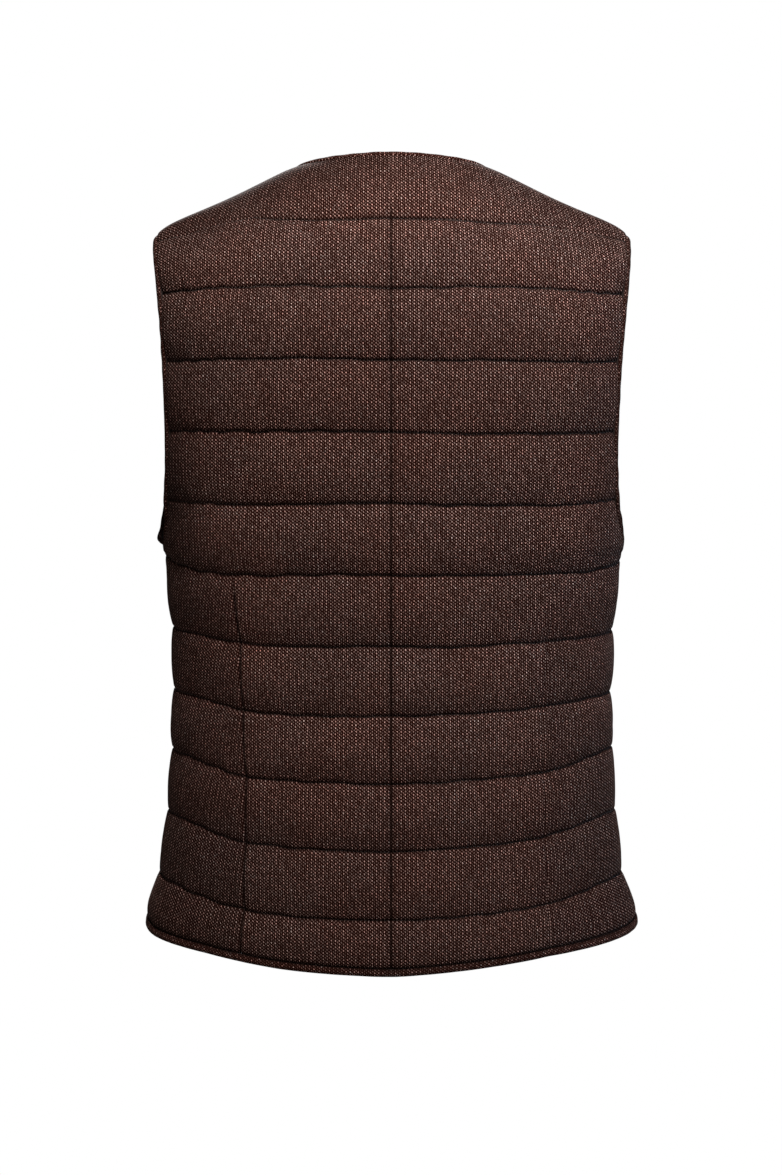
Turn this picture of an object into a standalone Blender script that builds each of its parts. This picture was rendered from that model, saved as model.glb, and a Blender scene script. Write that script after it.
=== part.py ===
"""A quilted wool vest, filled out as it is when worn, with nobody in it.

Metres, +Z up. The front faces -Y, the back faces +Y and the wearer's left is +X. The origin
lies between the shoulders, at the height where the vest hangs on its wearer.

The form is two sheets, one for the back and one for the front. Under the arms a sheet is a
stack of flat sections. Above the widest level of the armholes each upright line of a sheet
arches over to the shoulder ridge. A place on a sheet is given as on a flat paper pattern:
ACROSS, measured round the body from the centre line, and UP, measured over the cloth from
the hem edge. Every panel and every welt is laid out in those two lengths.
"""

import math

import bpy
import numpy as np

# Body sections up to the widest level of the armholes.
# Columns: height, half width, depth of the back, depth of the front, power of the outline
# (2 is an ellipse, more is squarer).
BODY = (
    (-0.620, 0.2115, 0.1295, 0.1210, 2.00),
    (-0.600, 0.2105, 0.1285, 0.1205, 2.00),
    (-0.575, 0.2030, 0.1250, 0.1195, 2.00),
    (-0.540, 0.1968, 0.1200, 0.1175, 2.03),
    (-0.505, 0.1922, 0.1155, 0.1155, 2.05),
    (-0.470, 0.1904, 0.1115, 0.1140, 2.07),
    (-0.435, 0.1888, 0.1085, 0.1135, 2.10),
    (-0.400, 0.1878, 0.1075, 0.1145, 2.12),
    (-0.365, 0.1884, 0.1085, 0.1170, 2.15),
    (-0.330, 0.1904, 0.1115, 0.1205, 2.20),
    (-0.300, 0.1930, 0.1150, 0.1235, 2.25),
    (-0.285, 0.1958, 0.1165, 0.1248, 2.30),
    (-0.260, 0.1962, 0.1190, 0.1265, 2.35),
    (-0.230, 0.1954, 0.1215, 0.1280, 2.40),
    (-0.200, 0.1960, 0.1232, 0.1285, 2.45),
    (-0.175, 0.1968, 0.1240, 0.1280, 2.50),
    (-0.150, 0.1982, 0.1242, 0.1275, 2.50),
)
HEM_HEIGHT = BODY[0][0]
HEM_RISE = 0.0078           # the hem edge is higher at the side seams by this much
ARCH_HEIGHT = BODY[-1][0]   # the widest level of the armholes, where the arch begins
ARCH_POWER = 2.2
ARCH_WIDENING = 1.3         # how late the arch takes up the width of the ridge
OVERLAP_ANGLE = 20.0        # degrees that a sheet goes on past the centre line, for the front lap

# Shoulder ridge: a slope that rounds over at the tip and at the centre plane.
NECK_POINT = (0.0750, 0.0250)       # distance from the centre plane, height
SHOULDER_SLOPE = 0.458
RIDGE_ROUNDING = 0.035              # how widely the ridge rounds over the centre plane
SHOULDER_SAG = 0.0022               # how far the ridge dips between the neck and the tip
SHOULDER_TIP = 0.1975               # distance of the tip from the centre plane
TIP_DROP = 0.0060
TIP_ROUNDING = 26
SEAM_FORWARD = 0.010                # the shoulder seam runs this far in front of the ridge

# Armholes: an oval, widest at ARCH_HEIGHT, with its lowest point on the side seam.
UNDERARM_HEIGHT = -0.286
ARMHOLE_BACK_DEPTH = 0.0600
ARMHOLE_FRONT_DEPTH = 0.0640
ARMHOLE_POWER = 2.3

# Neck and front edges. The left front laps over the right one.
NAPE_UP = 0.0770                    # from the highest quilt seam up to the nape
NECK_POWER = 2.00
VEE_HEIGHT = -0.235                 # where the neck opening meets the front edge
VEE_POWER = 1.12
FRONT_LAP = 0.018                   # the front edge passes the centre line by this much
LAP_STEP = 0.0062                   # how far the right front lies behind the left one
LAP_BLEND = 0.040
LAP_FADE = (-0.170, -0.110)         # heights over which the step fades out above the lap

# Cloth, quilting, welts and seams.
WALL = 0.0050                       # padded cloth at the top of a puff
GROOVE = 0.0022                     # how far a quilt seam pulls the outer face in
DART_GROOVE = 0.0018
WELT = 0.0065                       # width of the welt on every free edge
WELT_WALL = 0.0050
SEAM_GAP = 0.0003
QUILT_PITCH = 0.0552
QUILT_SEAMS = 11
HEM_ROW = 0.0450                    # from the hem edge up to the lowest quilt seam
PUFF_RINGS = 3                      # rings from one quilt seam to the next
UNDERARM_RINGS = 5                  # rings in the quilt row that holds the underarm point
UNDERARM_ROW = 6                    # that row, counted from the hem
YOKE_SEAM = 8                       # the quilt seam, counted from the hem, where the solids of a
                                    # panel's body and of its shoulder part meet
TOP_RINGS = 3                       # rings from the highest quilt seam to the neck and shoulders
SIDE_BLEND = 4                      # how soon the rings of the underarm row level out
HEM_BLEND = 2                       # the same for the rings beside the hem
SEAM_GROOVE = 0.0010                # how far the outer face dips along the sewn seams

# Waist darts in the back, from just under a quilt seam down to the hem.
# Columns: height, distance of the left dart from the centre plane, of the right dart.
DARTS = (
    (-0.620, 0.1225, 0.1290),
    (-0.580, 0.1198, 0.1275),
    (-0.535, 0.1186, 0.1251),
    (-0.478, 0.1175, 0.1237),
    (-0.418, 0.1199, 0.1218),
    (-0.363, 0.1218, 0.1258),
    (-0.316, 0.1253, 0.1309),
    (-0.150, 0.1300, 0.1330),
)
DART_TOP = -0.306

# Buttons on the centre line of the left front.
BUTTON_COUNT = 5
BUTTON_TOP_HEIGHT = -0.252
BUTTON_SPACING = 0.080
BUTTON_RADIUS = 0.0085
BUTTON_THICKNESS = 0.0032
BUTTON_RIM = 0.0016                 # width of the raised rim
BUTTON_DISH = 0.0009                # how far the middle lies below the rim
BUTTON_EDGE = 0.0009                # rounding of the rim and the back edge
BUTTON_SIDES = 20
BUTTON_CLEARANCE = 0.0004
HOLE_RADIUS = 0.0009
HOLE_OFFSET = 0.0019
HOLE_SIDES = 8
HOLE_COUNT = 4
PEG_OVERHANG = 0.002                # how far a hole's cutter stands out on either side

# Grid sizes.
FINE_WALL_ROWS = 110
FINE_ARCH_ROWS = 70
FINE_ANGLES = 100
BACK_COLUMNS = (5, 2, 5)            # centre seam to neck corner, to dart, to side
NECK_FAN = 1.3                      # how far out the neck corner's column starts, below the corner
FRONT_COLUMNS = 9
EDGE_SAMPLES = 120
SNAP_SHARE = 0.15                   # stretch of an edge that is eased onto the shoulder seam
PROBE = 0.0005
TINY = 1e-9
SHARP_ANGLE = 50.0                  # degrees between faces that meet in a sharp edge
FRONT, BACK = -1, 1

WOOL = ("wool", (0.050, 0.030, 0.025), 0.92)
WOOL_WELT = ("wool_welt", (0.042, 0.025, 0.021), 0.92)
HORN = ("horn_button", (0.032, 0.018, 0.012), 0.38)


def smooth_column(heights, values, at):
    """A cubic Hermite curve through a table column, read at the heights asked for."""
    slopes = np.gradient(values, heights)
    at = np.clip(at, heights[0], heights[-1])
    low = np.clip(np.searchsorted(heights, at, side="right") - 1, 0, len(heights) - 2)
    span = heights[low + 1] - heights[low]
    t = (at - heights[low]) / span
    return (
        values[low] * (1 + 2 * t) * (1 - t) ** 2
        + slopes[low] * span * t * (1 - t) ** 2
        + values[low + 1] * t * t * (3 - 2 * t)
        + slopes[low + 1] * span * t * t * (t - 1)
    )


def body_at(height, side):
    """Half width, depth and outline power of one side's section."""
    table = np.array(BODY)
    columns = (1, 2 if side == BACK else 3, 4)
    return [smooth_column(table[:, 0], table[:, column], height) for column in columns]


def smoothstep(low, high, value):
    """From 0 at the low value to 1 at the high one, level at both ends."""
    t = np.clip((value - low) / (high - low), 0.0, 1.0)
    return t * t * (3 - 2 * t)


def section(angle, side, height):
    """A point of a flat section. The angle runs from 0 at the centre to 90 degrees at the side."""
    half_width, depth, outline = body_at(height, side)
    power = 2 / outline
    across = half_width * np.sign(np.sin(angle)) * np.abs(np.sin(angle)) ** power
    return across, depth * np.abs(np.cos(angle)) ** power


def armhole_depth(side):
    """How far the armhole reaches from the side seam, to the back or to the front."""
    return ARMHOLE_BACK_DEPTH if side == BACK else ARMHOLE_FRONT_DEPTH


def angle_at_depth(side, height, depth_wanted):
    """The section angle where the sheet is this far from the side line."""
    _, depth, outline = body_at(height, side)
    return np.arccos(np.clip((depth_wanted / depth) ** (outline / 2), 0.0, 1.0))


def ridge_height(across):
    """Height of the shoulder ridge at a distance from the centre plane."""
    across = np.abs(across)
    run = np.hypot(across, RIDGE_ROUNDING) - math.hypot(NECK_POINT[0], RIDGE_ROUNDING)
    straight = NECK_POINT[1] - SHOULDER_SLOPE * run
    along = np.clip((across - NECK_POINT[0]) / (SHOULDER_TIP - NECK_POINT[0]), 0.0, 1.0)
    sag = SHOULDER_SAG * np.sin(math.pi * along) ** 2
    return straight - sag - TIP_DROP * (across / SHOULDER_TIP) ** TIP_ROUNDING


def tip_stretch(side):
    """Ratio of the ridge's half width to the half width at ARCH_HEIGHT, for equal angles."""
    angle = angle_at_depth(side, ARCH_HEIGHT, armhole_depth(side))
    return SHOULDER_TIP / section(angle, side, ARCH_HEIGHT)[0]


def arch(across_low, depth_low, side, turn):
    """A point on the arch from ARCH_HEIGHT to the ridge. The turn runs from 0 to 90 degrees."""
    rise = np.sin(turn) ** (2 / ARCH_POWER)
    widen = 1 + (tip_stretch(side) - 1) * rise ** ARCH_WIDENING
    top = ridge_height(across_low * tip_stretch(side))
    height = ARCH_HEIGHT + (top - ARCH_HEIGHT) * rise
    return across_low * widen, depth_low * np.cos(turn), height


class Sheet:
    """The back or the front as one smooth sheet, sampled on a fine net of upright lines."""

    def __init__(self, side):
        self.side = side
        self.angles = np.radians(np.linspace(-OVERLAP_ANGLE, 90.0, FINE_ANGLES + 1))
        self.centre = int(np.argmin(np.abs(self.angles)))
        self.angles -= self.angles[self.centre]
        self.angles = np.minimum(self.angles, math.pi / 2)
        self.angles[-1] = math.pi / 2
        self.point = np.concatenate([self.wall_rows(), self.arch_rows()])
        self.level = self.measure_levels()
        self.normal = self.measure_normals()
        self.seam = self.seam_line()

    def wall_rows(self):
        """The flat sections from the hem edge up to ARCH_HEIGHT."""
        heights = np.linspace(HEM_HEIGHT, ARCH_HEIGHT, FINE_WALL_ROWS)
        rows = np.empty((len(heights), len(self.angles), 3))
        for row, height in zip(rows, heights):
            across, depth = section(self.angles, self.side, height)
            row[:, 0] = across
            row[:, 1] = depth * self.side
            row[:, 2] = height
        return rows

    def arch_rows(self):
        """From ARCH_HEIGHT to the shoulder seam, which the back passes the ridge to reach."""
        across, depth = section(self.angles, self.side, ARCH_HEIGHT)
        front_depth = self.front_depth_at(across * tip_stretch(self.side))
        past = np.arcsin(SEAM_FORWARD / np.maximum(front_depth, 2 * SEAM_FORWARD))
        rows = np.empty((FINE_ARCH_ROWS, len(self.angles), 3))
        for index, row in enumerate(rows):
            share = (index + 1) / FINE_ARCH_ROWS
            turn = share * (math.pi / 2 + past * self.side)
            own = arch(across, depth, self.side, np.minimum(turn, math.pi / 2))
            ridge_across = across * tip_stretch(self.side)
            front_across = ridge_across / tip_stretch(FRONT)
            beyond = arch(front_across, front_depth, FRONT, np.minimum(math.pi - turn, math.pi / 2))
            over = turn > math.pi / 2
            row[:, 0] = np.where(over, beyond[0], own[0])
            row[:, 1] = np.where(over, -beyond[1], own[1] * self.side)
            row[:, 2] = np.where(over, beyond[2], own[2])
        return rows

    def front_depth_at(self, ridge_across):
        """Depth of the front at ARCH_HEIGHT under a point of the ridge."""
        across, depth = section(self.angles, FRONT, ARCH_HEIGHT)
        return np.interp(np.abs(ridge_across) / tip_stretch(FRONT), across[self.centre:],
                         depth[self.centre:])

    def measure_levels(self):
        """Length over the cloth from the hem edge, level up to ARCH_HEIGHT."""
        steps = np.linalg.norm(np.diff(self.point, axis=0), axis=2)
        steps[: FINE_WALL_ROWS - 1] = steps[: FINE_WALL_ROWS - 1, self.centre, None]
        start = np.zeros((1, len(self.angles)))
        return np.concatenate([start, np.cumsum(steps, axis=0)])

    def measure_normals(self):
        """Outward normals of the net. On the side line they point straight out to the side."""
        up = np.gradient(self.point, axis=0)
        round_body = np.gradient(self.point, axis=1)
        normal = np.cross(up, round_body) * self.side
        normal[:FINE_WALL_ROWS, -1, 1] = 0.0
        normal[FINE_WALL_ROWS:, -1] = (1.0, 0.0, 0.0)
        return normal / np.linalg.norm(normal, axis=2, keepdims=True)

    def ring(self, level):
        """The level line of the sheet: lengths from the centre, points and normals."""
        columns = np.arange(len(self.angles))
        low = np.clip((self.level <= level).sum(axis=0) - 1, 0, len(self.level) - 2)
        span = np.maximum(self.level[low + 1, columns] - self.level[low, columns], TINY)
        share = ((level - self.level[low, columns]) / span)[:, None]
        points = self.point[low, columns] * (1 - share) + self.point[low + 1, columns] * share
        normals = self.normal[low, columns] * (1 - share) + self.normal[low + 1, columns] * share
        lengths = np.concatenate([[0], np.cumsum(np.linalg.norm(np.diff(points, axis=0), axis=1))])
        return lengths - lengths[self.centre], points, normals

    def at(self, across, level):
        """The point and the outward normal at a place of the pattern."""
        lengths, points, normals = self.ring(level)
        point = [np.interp(across, lengths, points[:, k]) for k in range(3)]
        normal = np.array([np.interp(across, lengths, normals[:, k]) for k in range(3)])
        return np.array(point), normal / np.linalg.norm(normal)

    def side_length(self, level):
        """Length round the body from the centre line to the side seam."""
        return self.ring(level)[0][-1]

    def level_at(self, height):
        """Level of a height below ARCH_HEIGHT."""
        return np.interp(height, self.point[:FINE_WALL_ROWS, -1, 2], self.level[:FINE_WALL_ROWS, -1])

    def height_at(self, level):
        """Height of a level below ARCH_HEIGHT."""
        return np.interp(level, self.level[:FINE_WALL_ROWS, -1], self.point[:FINE_WALL_ROWS, -1, 2])

    def across_of(self, distance, level):
        """Length round the body to a distance from the centre plane."""
        lengths, points, _ = self.ring(level)
        return np.interp(distance, points[:, 0], lengths)

    def seam_line(self):
        """Pattern places of the shoulder seam, one for each upright line."""
        places = np.empty((len(self.angles), 2))
        for index, level in enumerate(self.level[-1]):
            places[index] = (self.ring(level)[0][index], level)
        return places

    def seam_place(self, across):
        """Pattern place of the shoulder seam at a length from the centre line."""
        return across, float(np.interp(across, self.seam[:, 0], self.seam[:, 1]))

    def seam_at_distance(self, distance):
        """Pattern place of the shoulder seam at a distance from the centre plane."""
        return self.seam_place(float(np.interp(distance, self.point[-1, :, 0], self.seam[:, 0])))

    def seam_beside(self, place, distance, outward):
        """The seam's place at a distance along the seam from another of its places."""
        here = self.at(*place)[0]
        steps = np.linspace(0.0, 3 * distance, 61) * (1 if outward else -1)
        others = [self.seam_place(place[0] + step) for step in steps]
        gaps = [np.linalg.norm(self.at(*other)[0] - here) for other in others]
        across = float(np.interp(distance, gaps, [other[0] for other in others]))
        return np.array(self.seam_place(across))


def quilt_level(number):
    """Level of a quilt seam, counted from 0 at the hem."""
    return HEM_ROW + number * QUILT_PITCH


def offset_inward(sheet, places, distance):
    """A pattern line moved to its right by a distance measured over the cloth."""
    along = np.gradient(places, axis=0)
    moved = np.empty_like(places)
    for index, ((across, level), (run, climb)) in enumerate(zip(places, along)):
        near = [sheet.at(across - PROBE * a, level - PROBE * b)[0] for a, b in ((1, 0), (0, 1))]
        here = sheet.at(across, level)[0]
        round_body, up = [(here - point) / np.linalg.norm(here - point) for point in near]
        skew = float(round_body @ up)
        right = np.array([skew * run + climb, -run - skew * climb])
        length = math.sqrt(right @ np.array([[1, skew], [skew, 1]]) @ right)
        moved[index] = (across, level) + distance * right / length
    return moved


def armhole_line(sheet):
    """Pattern places of the armhole's edge, from the underarm point up to the shoulder seam."""
    side = sheet.side
    depth = armhole_depth(side)
    places = []
    for share in np.linspace(0.0, 1.0, EDGE_SAMPLES):
        turn = share * math.pi / 2
        drop = (ARCH_HEIGHT - UNDERARM_HEIGHT) * math.cos(turn) ** (2 / ARMHOLE_POWER)
        height = ARCH_HEIGHT - drop
        angle = angle_at_depth(side, height, depth * math.sin(turn) ** (2 / ARMHOLE_POWER))
        level = sheet.level_at(height)
        lengths = sheet.ring(level)[0]
        places.append((np.interp(angle, sheet.angles, lengths), level))
    angle = angle_at_depth(side, ARCH_HEIGHT, depth)
    start_level = places[-1][1]
    end_level = np.interp(angle, sheet.angles, sheet.level[-1])
    for level in np.linspace(start_level, end_level, EDGE_SAMPLES)[1:]:
        places.append((np.interp(angle, sheet.angles, sheet.ring(level)[0]), level))
    return np.array(places)


def neck_line(sheet):
    """Pattern places of the back neck edge, from the centre seam to the shoulder seam."""
    end = sheet.seam_at_distance(NECK_POINT[0])
    start_level = quilt_level(QUILT_SEAMS - 1) + NAPE_UP
    turns = np.linspace(0.0, math.pi / 2, EDGE_SAMPLES)
    across = end[0] * np.sin(turns) ** (2 / NECK_POWER)
    level = end[1] - (end[1] - start_level) * np.cos(turns) ** (2 / NECK_POWER)
    return np.stack([across, level], axis=1)


def front_line(sheet):
    """Pattern places of the front edge and the neck edge, from the hem to the shoulder seam."""
    end = sheet.seam_at_distance(NECK_POINT[0])
    vee_level = sheet.level_at(VEE_HEIGHT)
    straight = [(-FRONT_LAP, level) for level in np.linspace(0.0, vee_level, EDGE_SAMPLES)]
    slant = []
    for share in np.linspace(0.0, 1.0, EDGE_SAMPLES)[1:]:
        level = vee_level + (end[1] - vee_level) * share
        slant.append((-FRONT_LAP + (end[0] + FRONT_LAP) * share ** VEE_POWER, level))
    return np.array(straight + slant)


class Edge:
    """A free edge: its outer line, and the inner line where the panel meets the welt."""

    def __init__(self, sheet, places, inward):
        """The inner line ends on the shoulder seam, one welt's width from the outer line's end."""
        self.outer = places
        self.inner = offset_inward(sheet, places, inward * WELT)
        end = sheet.seam_beside(places[-1], WELT, self.inner[-1][0] > places[-1][0])
        ease = np.linspace(0.0, 1.0, len(places))
        ease = np.maximum(0.0, (ease - 1 + SNAP_SHARE) / SNAP_SHARE) ** 2
        self.inner = self.inner + ease[:, None] * (end - self.inner[-1])
        steps = np.linalg.norm(np.diff(self.inner, axis=0), axis=1)
        self.length = np.concatenate([[0.0], np.cumsum(steps)])

    def places(self, length):
        """The inner and the outer place at a length along the inner line."""
        inner = [np.interp(length, self.length, self.inner[:, k]) for k in (0, 1)]
        outer = [np.interp(length, self.length, self.outer[:, k]) for k in (0, 1)]
        return tuple(inner), tuple(outer)

    def length_at_level(self, level):
        """Length along the inner line up to a level."""
        return np.interp(level, self.inner[:, 1], self.length)


def quilt_groove(level):
    """How far the quilting pulls the outer face in at a level."""
    place = (level - HEM_ROW) / QUILT_PITCH
    if place < -0.5 or place > QUILT_SEAMS - 0.5:
        return 0.0
    return GROOVE * (1 - math.sqrt(abs(math.sin(math.pi * place))))


def wall_levels():
    """Levels of a panel's rings, from the hem welt up to the highest quilt seam."""
    levels = [WELT]
    for number in range(QUILT_SEAMS):
        count = UNDERARM_RINGS if number == UNDERARM_ROW else PUFF_RINGS
        levels += list(np.linspace(levels[-1], quilt_level(number), count + 1)[1:])
    return levels


def side_places(sheet, armhole):
    """Pattern places of a panel's outer side at each ring: up the side seam, then the armhole.

    Each place comes with the armhole edge's partner place, or None on the side seam.
    """
    first = UNDERARM_ROW * PUFF_RINGS
    last = first + UNDERARM_RINGS
    levels = wall_levels()
    top_length = armhole.length_at_level(levels[last])
    places = []
    for index, level in enumerate(levels):
        if index <= first:
            level += HEM_RISE * max(0.0, 1 - index / PUFF_RINGS)
            places.append(((sheet.side_length(level) - SEAM_GAP / 2, level), None))
        elif index <= last:
            share = (index - first - 1) / (last - first - 1)
            inner, outer = armhole.places(share * top_length)
            inner = (min(inner[0], sheet.side_length(inner[1]) - SEAM_GAP / 2), inner[1])
            places.append((inner, outer))
        else:
            places.append(armhole.places(armhole.length_at_level(level)))
    start = armhole.length_at_level(levels[-1])
    for ring in range(1, TOP_RINGS + 1):
        share = ring / TOP_RINGS
        places.append(armhole.places(start + (armhole.length[-1] - start) * share))
    return places


def front_places(front_edge):
    """Pattern places of a front panel's inner side at each ring, with their partners."""
    places = [front_edge.places(front_edge.length_at_level(level)) for level in wall_levels()]
    start = front_edge.length_at_level(wall_levels()[-1])
    for ring in range(1, TOP_RINGS + 1):
        share = ring / TOP_RINGS
        places.append(front_edge.places(start + (front_edge.length[-1] - start) * share))
    return places


def neck_places(neck):
    """Pattern places of a back panel's neck line, from the centre seam, with their partners."""
    lengths = np.linspace(0.0, neck.length[-1], BACK_COLUMNS[0] + 1)
    return [neck.places(length) for length in lengths]


def dart_distance(height, mirror):
    """Distance of a dart from the centre plane. The left panel isn't mirrored."""
    table = np.array(DARTS)
    return smooth_column(table[:, 0], table[:, 2 if mirror else 1], height)


def spread(stops, counts):
    """Values that run through the stops, with so many equal steps between each two."""
    values = [stops[0]]
    for low, high, count in zip(stops, stops[1:], counts):
        values += list(np.linspace(low, high, count + 1)[1:])
    return np.array(values)


def back_grid(sheet, armhole, neck, mirror):
    """Pattern places of a back panel, ring by ring, and its top line."""
    sides = side_places(sheet, armhole)
    levels = wall_levels()
    neck_end = neck.inner[-1][0]
    rings = []
    for level, (side, _) in zip(levels, sides):
        height = min(sheet.height_at(level), ARCH_HEIGHT)
        dart = sheet.across_of(dart_distance(height, mirror), level)
        across = spread((SEAM_GAP / 2, neck_end * NECK_FAN, dart, side[0]), BACK_COLUMNS)
        rings.append(ring_with_side(across, level, side))
    top = [inner for inner, _ in neck_places(neck)]
    top[0] = (SEAM_GAP / 2, top[0][1])
    dart_across = rings[-1][sum(BACK_COLUMNS[:2])][0]
    shoulder = spread((neck_end, dart_across, sides[-1][0][0]), BACK_COLUMNS[1:])
    top += [sheet.seam_place(across) for across in shoulder[1:]]
    return rings + upper_rings(rings[-1], top, [side for side, _ in sides[-TOP_RINGS:]])


def front_grid(sheet, armhole, front_edge):
    """Pattern places of a front panel, ring by ring."""
    sides = side_places(sheet, armhole)
    inners = front_places(front_edge)
    rings = []
    for level, (side, _), (inner, _) in zip(wall_levels(), sides, inners):
        across = np.linspace(inner[0], side[0], FRONT_COLUMNS + 1)
        rings.append(ring_with_side(across, level, side))
    top_across = np.linspace(inners[-1][0][0], sides[-1][0][0], FRONT_COLUMNS + 1)
    top = [sheet.seam_place(across) for across in top_across]
    sides = [side for side, _ in sides[-TOP_RINGS:]]
    return rings + upper_rings(rings[-1], top, sides, [inner for inner, _ in inners[-TOP_RINGS:]])


def ring_with_side(across, level, side):
    """A level ring whose outer end leaves the level to reach its place on the side."""
    share = (across - across[0]) / (across[-1] - across[0])
    blend = HEM_BLEND if level < quilt_level(0) else SIDE_BLEND
    levels = level + (side[1] - level) * share ** blend
    return [tuple(place) for place in np.stack([across, levels], axis=1)]


def upper_rings(below, top, sides, inners=None):
    """Rings between the highest quilt seam and the top line of a panel.

    The shoulder seam takes all of a front's top line, and a back's from its neck line on.
    """
    below, top = np.array(below), np.array(top)
    seam_start = 0 if inners else BACK_COLUMNS[0]
    rings = []
    for ring in range(1, TOP_RINGS + 1):
        places = below + (top - below) * ring / TOP_RINGS
        places[-1] = sides[ring - 1]
        if inners:
            places[0] = inners[ring - 1]
        if ring == TOP_RINGS:
            places[seam_start:, 1] -= SEAM_GAP / 2
        rings.append([tuple(place) for place in places])
    return rings


def lap_depth(point):
    """How far the right front lies behind the left one at a point."""
    beside = smoothstep(-FRONT_LAP - LAP_BLEND, -FRONT_LAP, point[0])
    below = 1 - smoothstep(LAP_FADE[0], LAP_FADE[1], point[2])
    return LAP_STEP * beside * below


def placed(sheet, place, right_front=False):
    """The point and the outward normal of a pattern place, as they lie on the left half.

    The right front is laid out as a mirror image too, and steps back under the left one.
    """
    point, normal = sheet.at(*place)
    if right_front:
        point = point - normal * lap_depth(point * (-1, 1, 1))
    return point, normal


def add_solid(name, vertices, faces, finish, mirror=False):
    """Make one closed object with its faces pointing out."""
    vertices = np.array(vertices)
    if mirror:
        vertices = vertices * (-1, 1, 1)
    volume = 0.0
    for face in faces:
        for second, third in zip(face[1:], face[2:]):
            a, b, c = vertices[face[0]], vertices[second], vertices[third]
            volume += float(np.dot(a, np.cross(b, c)))
    if volume < 0:
        faces = [face[::-1] for face in faces]
    mesh = bpy.data.meshes.new(name)
    mesh.from_pydata(vertices.tolist(), [], faces)
    mesh.update()
    mesh.materials.append(material(*finish))
    mesh.shade_smooth()
    mesh.set_sharp_from_angle(angle=math.radians(SHARP_ANGLE))
    obj = bpy.data.objects.new(name, mesh)
    bpy.context.scene.collection.objects.link(obj)
    return obj


def material(name, colour, roughness):
    """A plain material, made once."""
    made = bpy.data.materials.get(name)
    if made:
        return made
    made = bpy.data.materials.new(name)
    made.use_nodes = True
    shader = made.node_tree.nodes["Principled BSDF"]
    shader.inputs["Base Color"].default_value = (*colour, 1.0)
    shader.inputs["Roughness"].default_value = roughness
    shader.inputs["Metallic"].default_value = 0.0
    return made


def add_panel(name, sheet, rings, dart_column=None, mirror=False, right_front=False):
    """A padded panel as two solids, which meet in a quilt seam over the shoulder blades."""
    row = PUFF_RINGS * (YOKE_SEAM + 1) + UNDERARM_RINGS - PUFF_RINGS
    below = [(across, level - SEAM_GAP / 2) for across, level in rings[row]]
    above = [(across, level + SEAM_GAP / 2) for across, level in rings[row]]
    parts = (("body", rings[:row] + [below]), ("shoulder", [above] + rings[row + 1:]))
    for part, part_rings in parts:
        add_wall(f"{name}_{part}", sheet, part_rings, dart_column, mirror, right_front)


def add_wall(name, sheet, rings, dart_column, mirror, right_front):
    """A padded wall: its quilted outer face, its smooth inner face and the edges between."""
    count = len(rings[0])
    outer, inner = [], []
    for row, ring in enumerate(rings):
        for column, place in enumerate(ring):
            point, normal = placed(sheet, place, right_front)
            dip = quilt_groove(place[1])
            if row in (0, len(rings) - 1) or column in (0, count - 1):
                dip = max(dip, SEAM_GROOVE)
            if column == dart_column and point[2] < DART_TOP:
                dip = max(dip, DART_GROOVE)
            outer.append(point - normal * dip)
            inner.append(point - normal * WALL)
    total = len(outer)
    faces = []
    for row in range(len(rings) - 1):
        for column in range(count - 1):
            corner = row * count + column
            quad = [corner, corner + 1, corner + count + 1, corner + count]
            faces.append(quad)
            faces.append([total + index for index in quad[::-1]])
    border = list(range(count))
    border += [row * count + count - 1 for row in range(1, len(rings))]
    border += [(len(rings) - 1) * count + column for column in range(count - 2, -1, -1)]
    border += [row * count for row in range(len(rings) - 2, 0, -1)]
    for here, there in zip(border, border[1:] + border[:1]):
        faces.append([there, here, total + here, total + there])
    return add_solid(name, outer + inner, faces, WOOL, mirror)


# Section of a welt. Columns: share of its width, height as a share of its wall.
WELT_SECTION = (
    (0.00, -0.16),
    (0.28, -0.02),
    (0.74, -0.06),
    (1.00, -0.50),
    (0.74, -0.94),
    (0.00, -0.90),
)


def station(sheet, pair, mirror=False, right_front=False):
    """One cross section of a welt, from its inner and outer places."""
    flip = np.array((-1, 1, 1) if mirror else (1, 1, 1))
    (start, start_normal), (end, end_normal) = [placed(sheet, p, right_front) for p in pair]
    gap = SEAM_GAP / np.linalg.norm(end - start)
    section_points = []
    for share, height in WELT_SECTION:
        share = gap + share * (1 - gap)
        normal = start_normal + (end_normal - start_normal) * share
        point = start + (end - start) * share + normal * height * WELT_WALL
        section_points.append(point * flip)
    return section_points


def add_welt(name, stations, closed):
    """A welt swept through its stations."""
    size = len(WELT_SECTION)
    vertices = [point for points in stations for point in points]
    faces = []
    pairs = list(zip(range(len(stations)), range(1, len(stations))))
    if closed:
        pairs.append((len(stations) - 1, 0))
    for here, there in pairs:
        for index in range(size):
            after = (index + 1) % size
            faces.append([here * size + index, here * size + after,
                          there * size + after, there * size + index])
    if not closed:
        faces.append(list(range(size))[::-1])
        faces.append([(len(stations) - 1) * size + index for index in range(size)])
    return add_solid(name, vertices, faces, WOOL_WELT)


def add_armhole_welt(name, back, front, back_sides, front_sides, mirror):
    """Round one armhole: up the front, over the shoulder, down the back to the underarm."""
    front_pairs = [pair for pair in front_sides if pair[1] is not None]
    back_pairs = [pair for pair in back_sides if pair[1] is not None]
    stations = [station(front, pair, mirror) for pair in front_pairs]
    stations += [station(back, pair, mirror) for pair in back_pairs[-2:0:-1]]
    return add_welt(name, stations, closed=True)


def add_hem_welt(name, runs):
    """A hem welt through runs of (sheet, ring of places, mirror, right front)."""
    stations = []
    for sheet, ring, mirror, right_front in runs:
        for across, level in ring:
            pair = ((across, level), (across, level - WELT))
            stations.append(station(sheet, pair, mirror, right_front))
    return add_welt(name, stations, closed=False)


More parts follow.
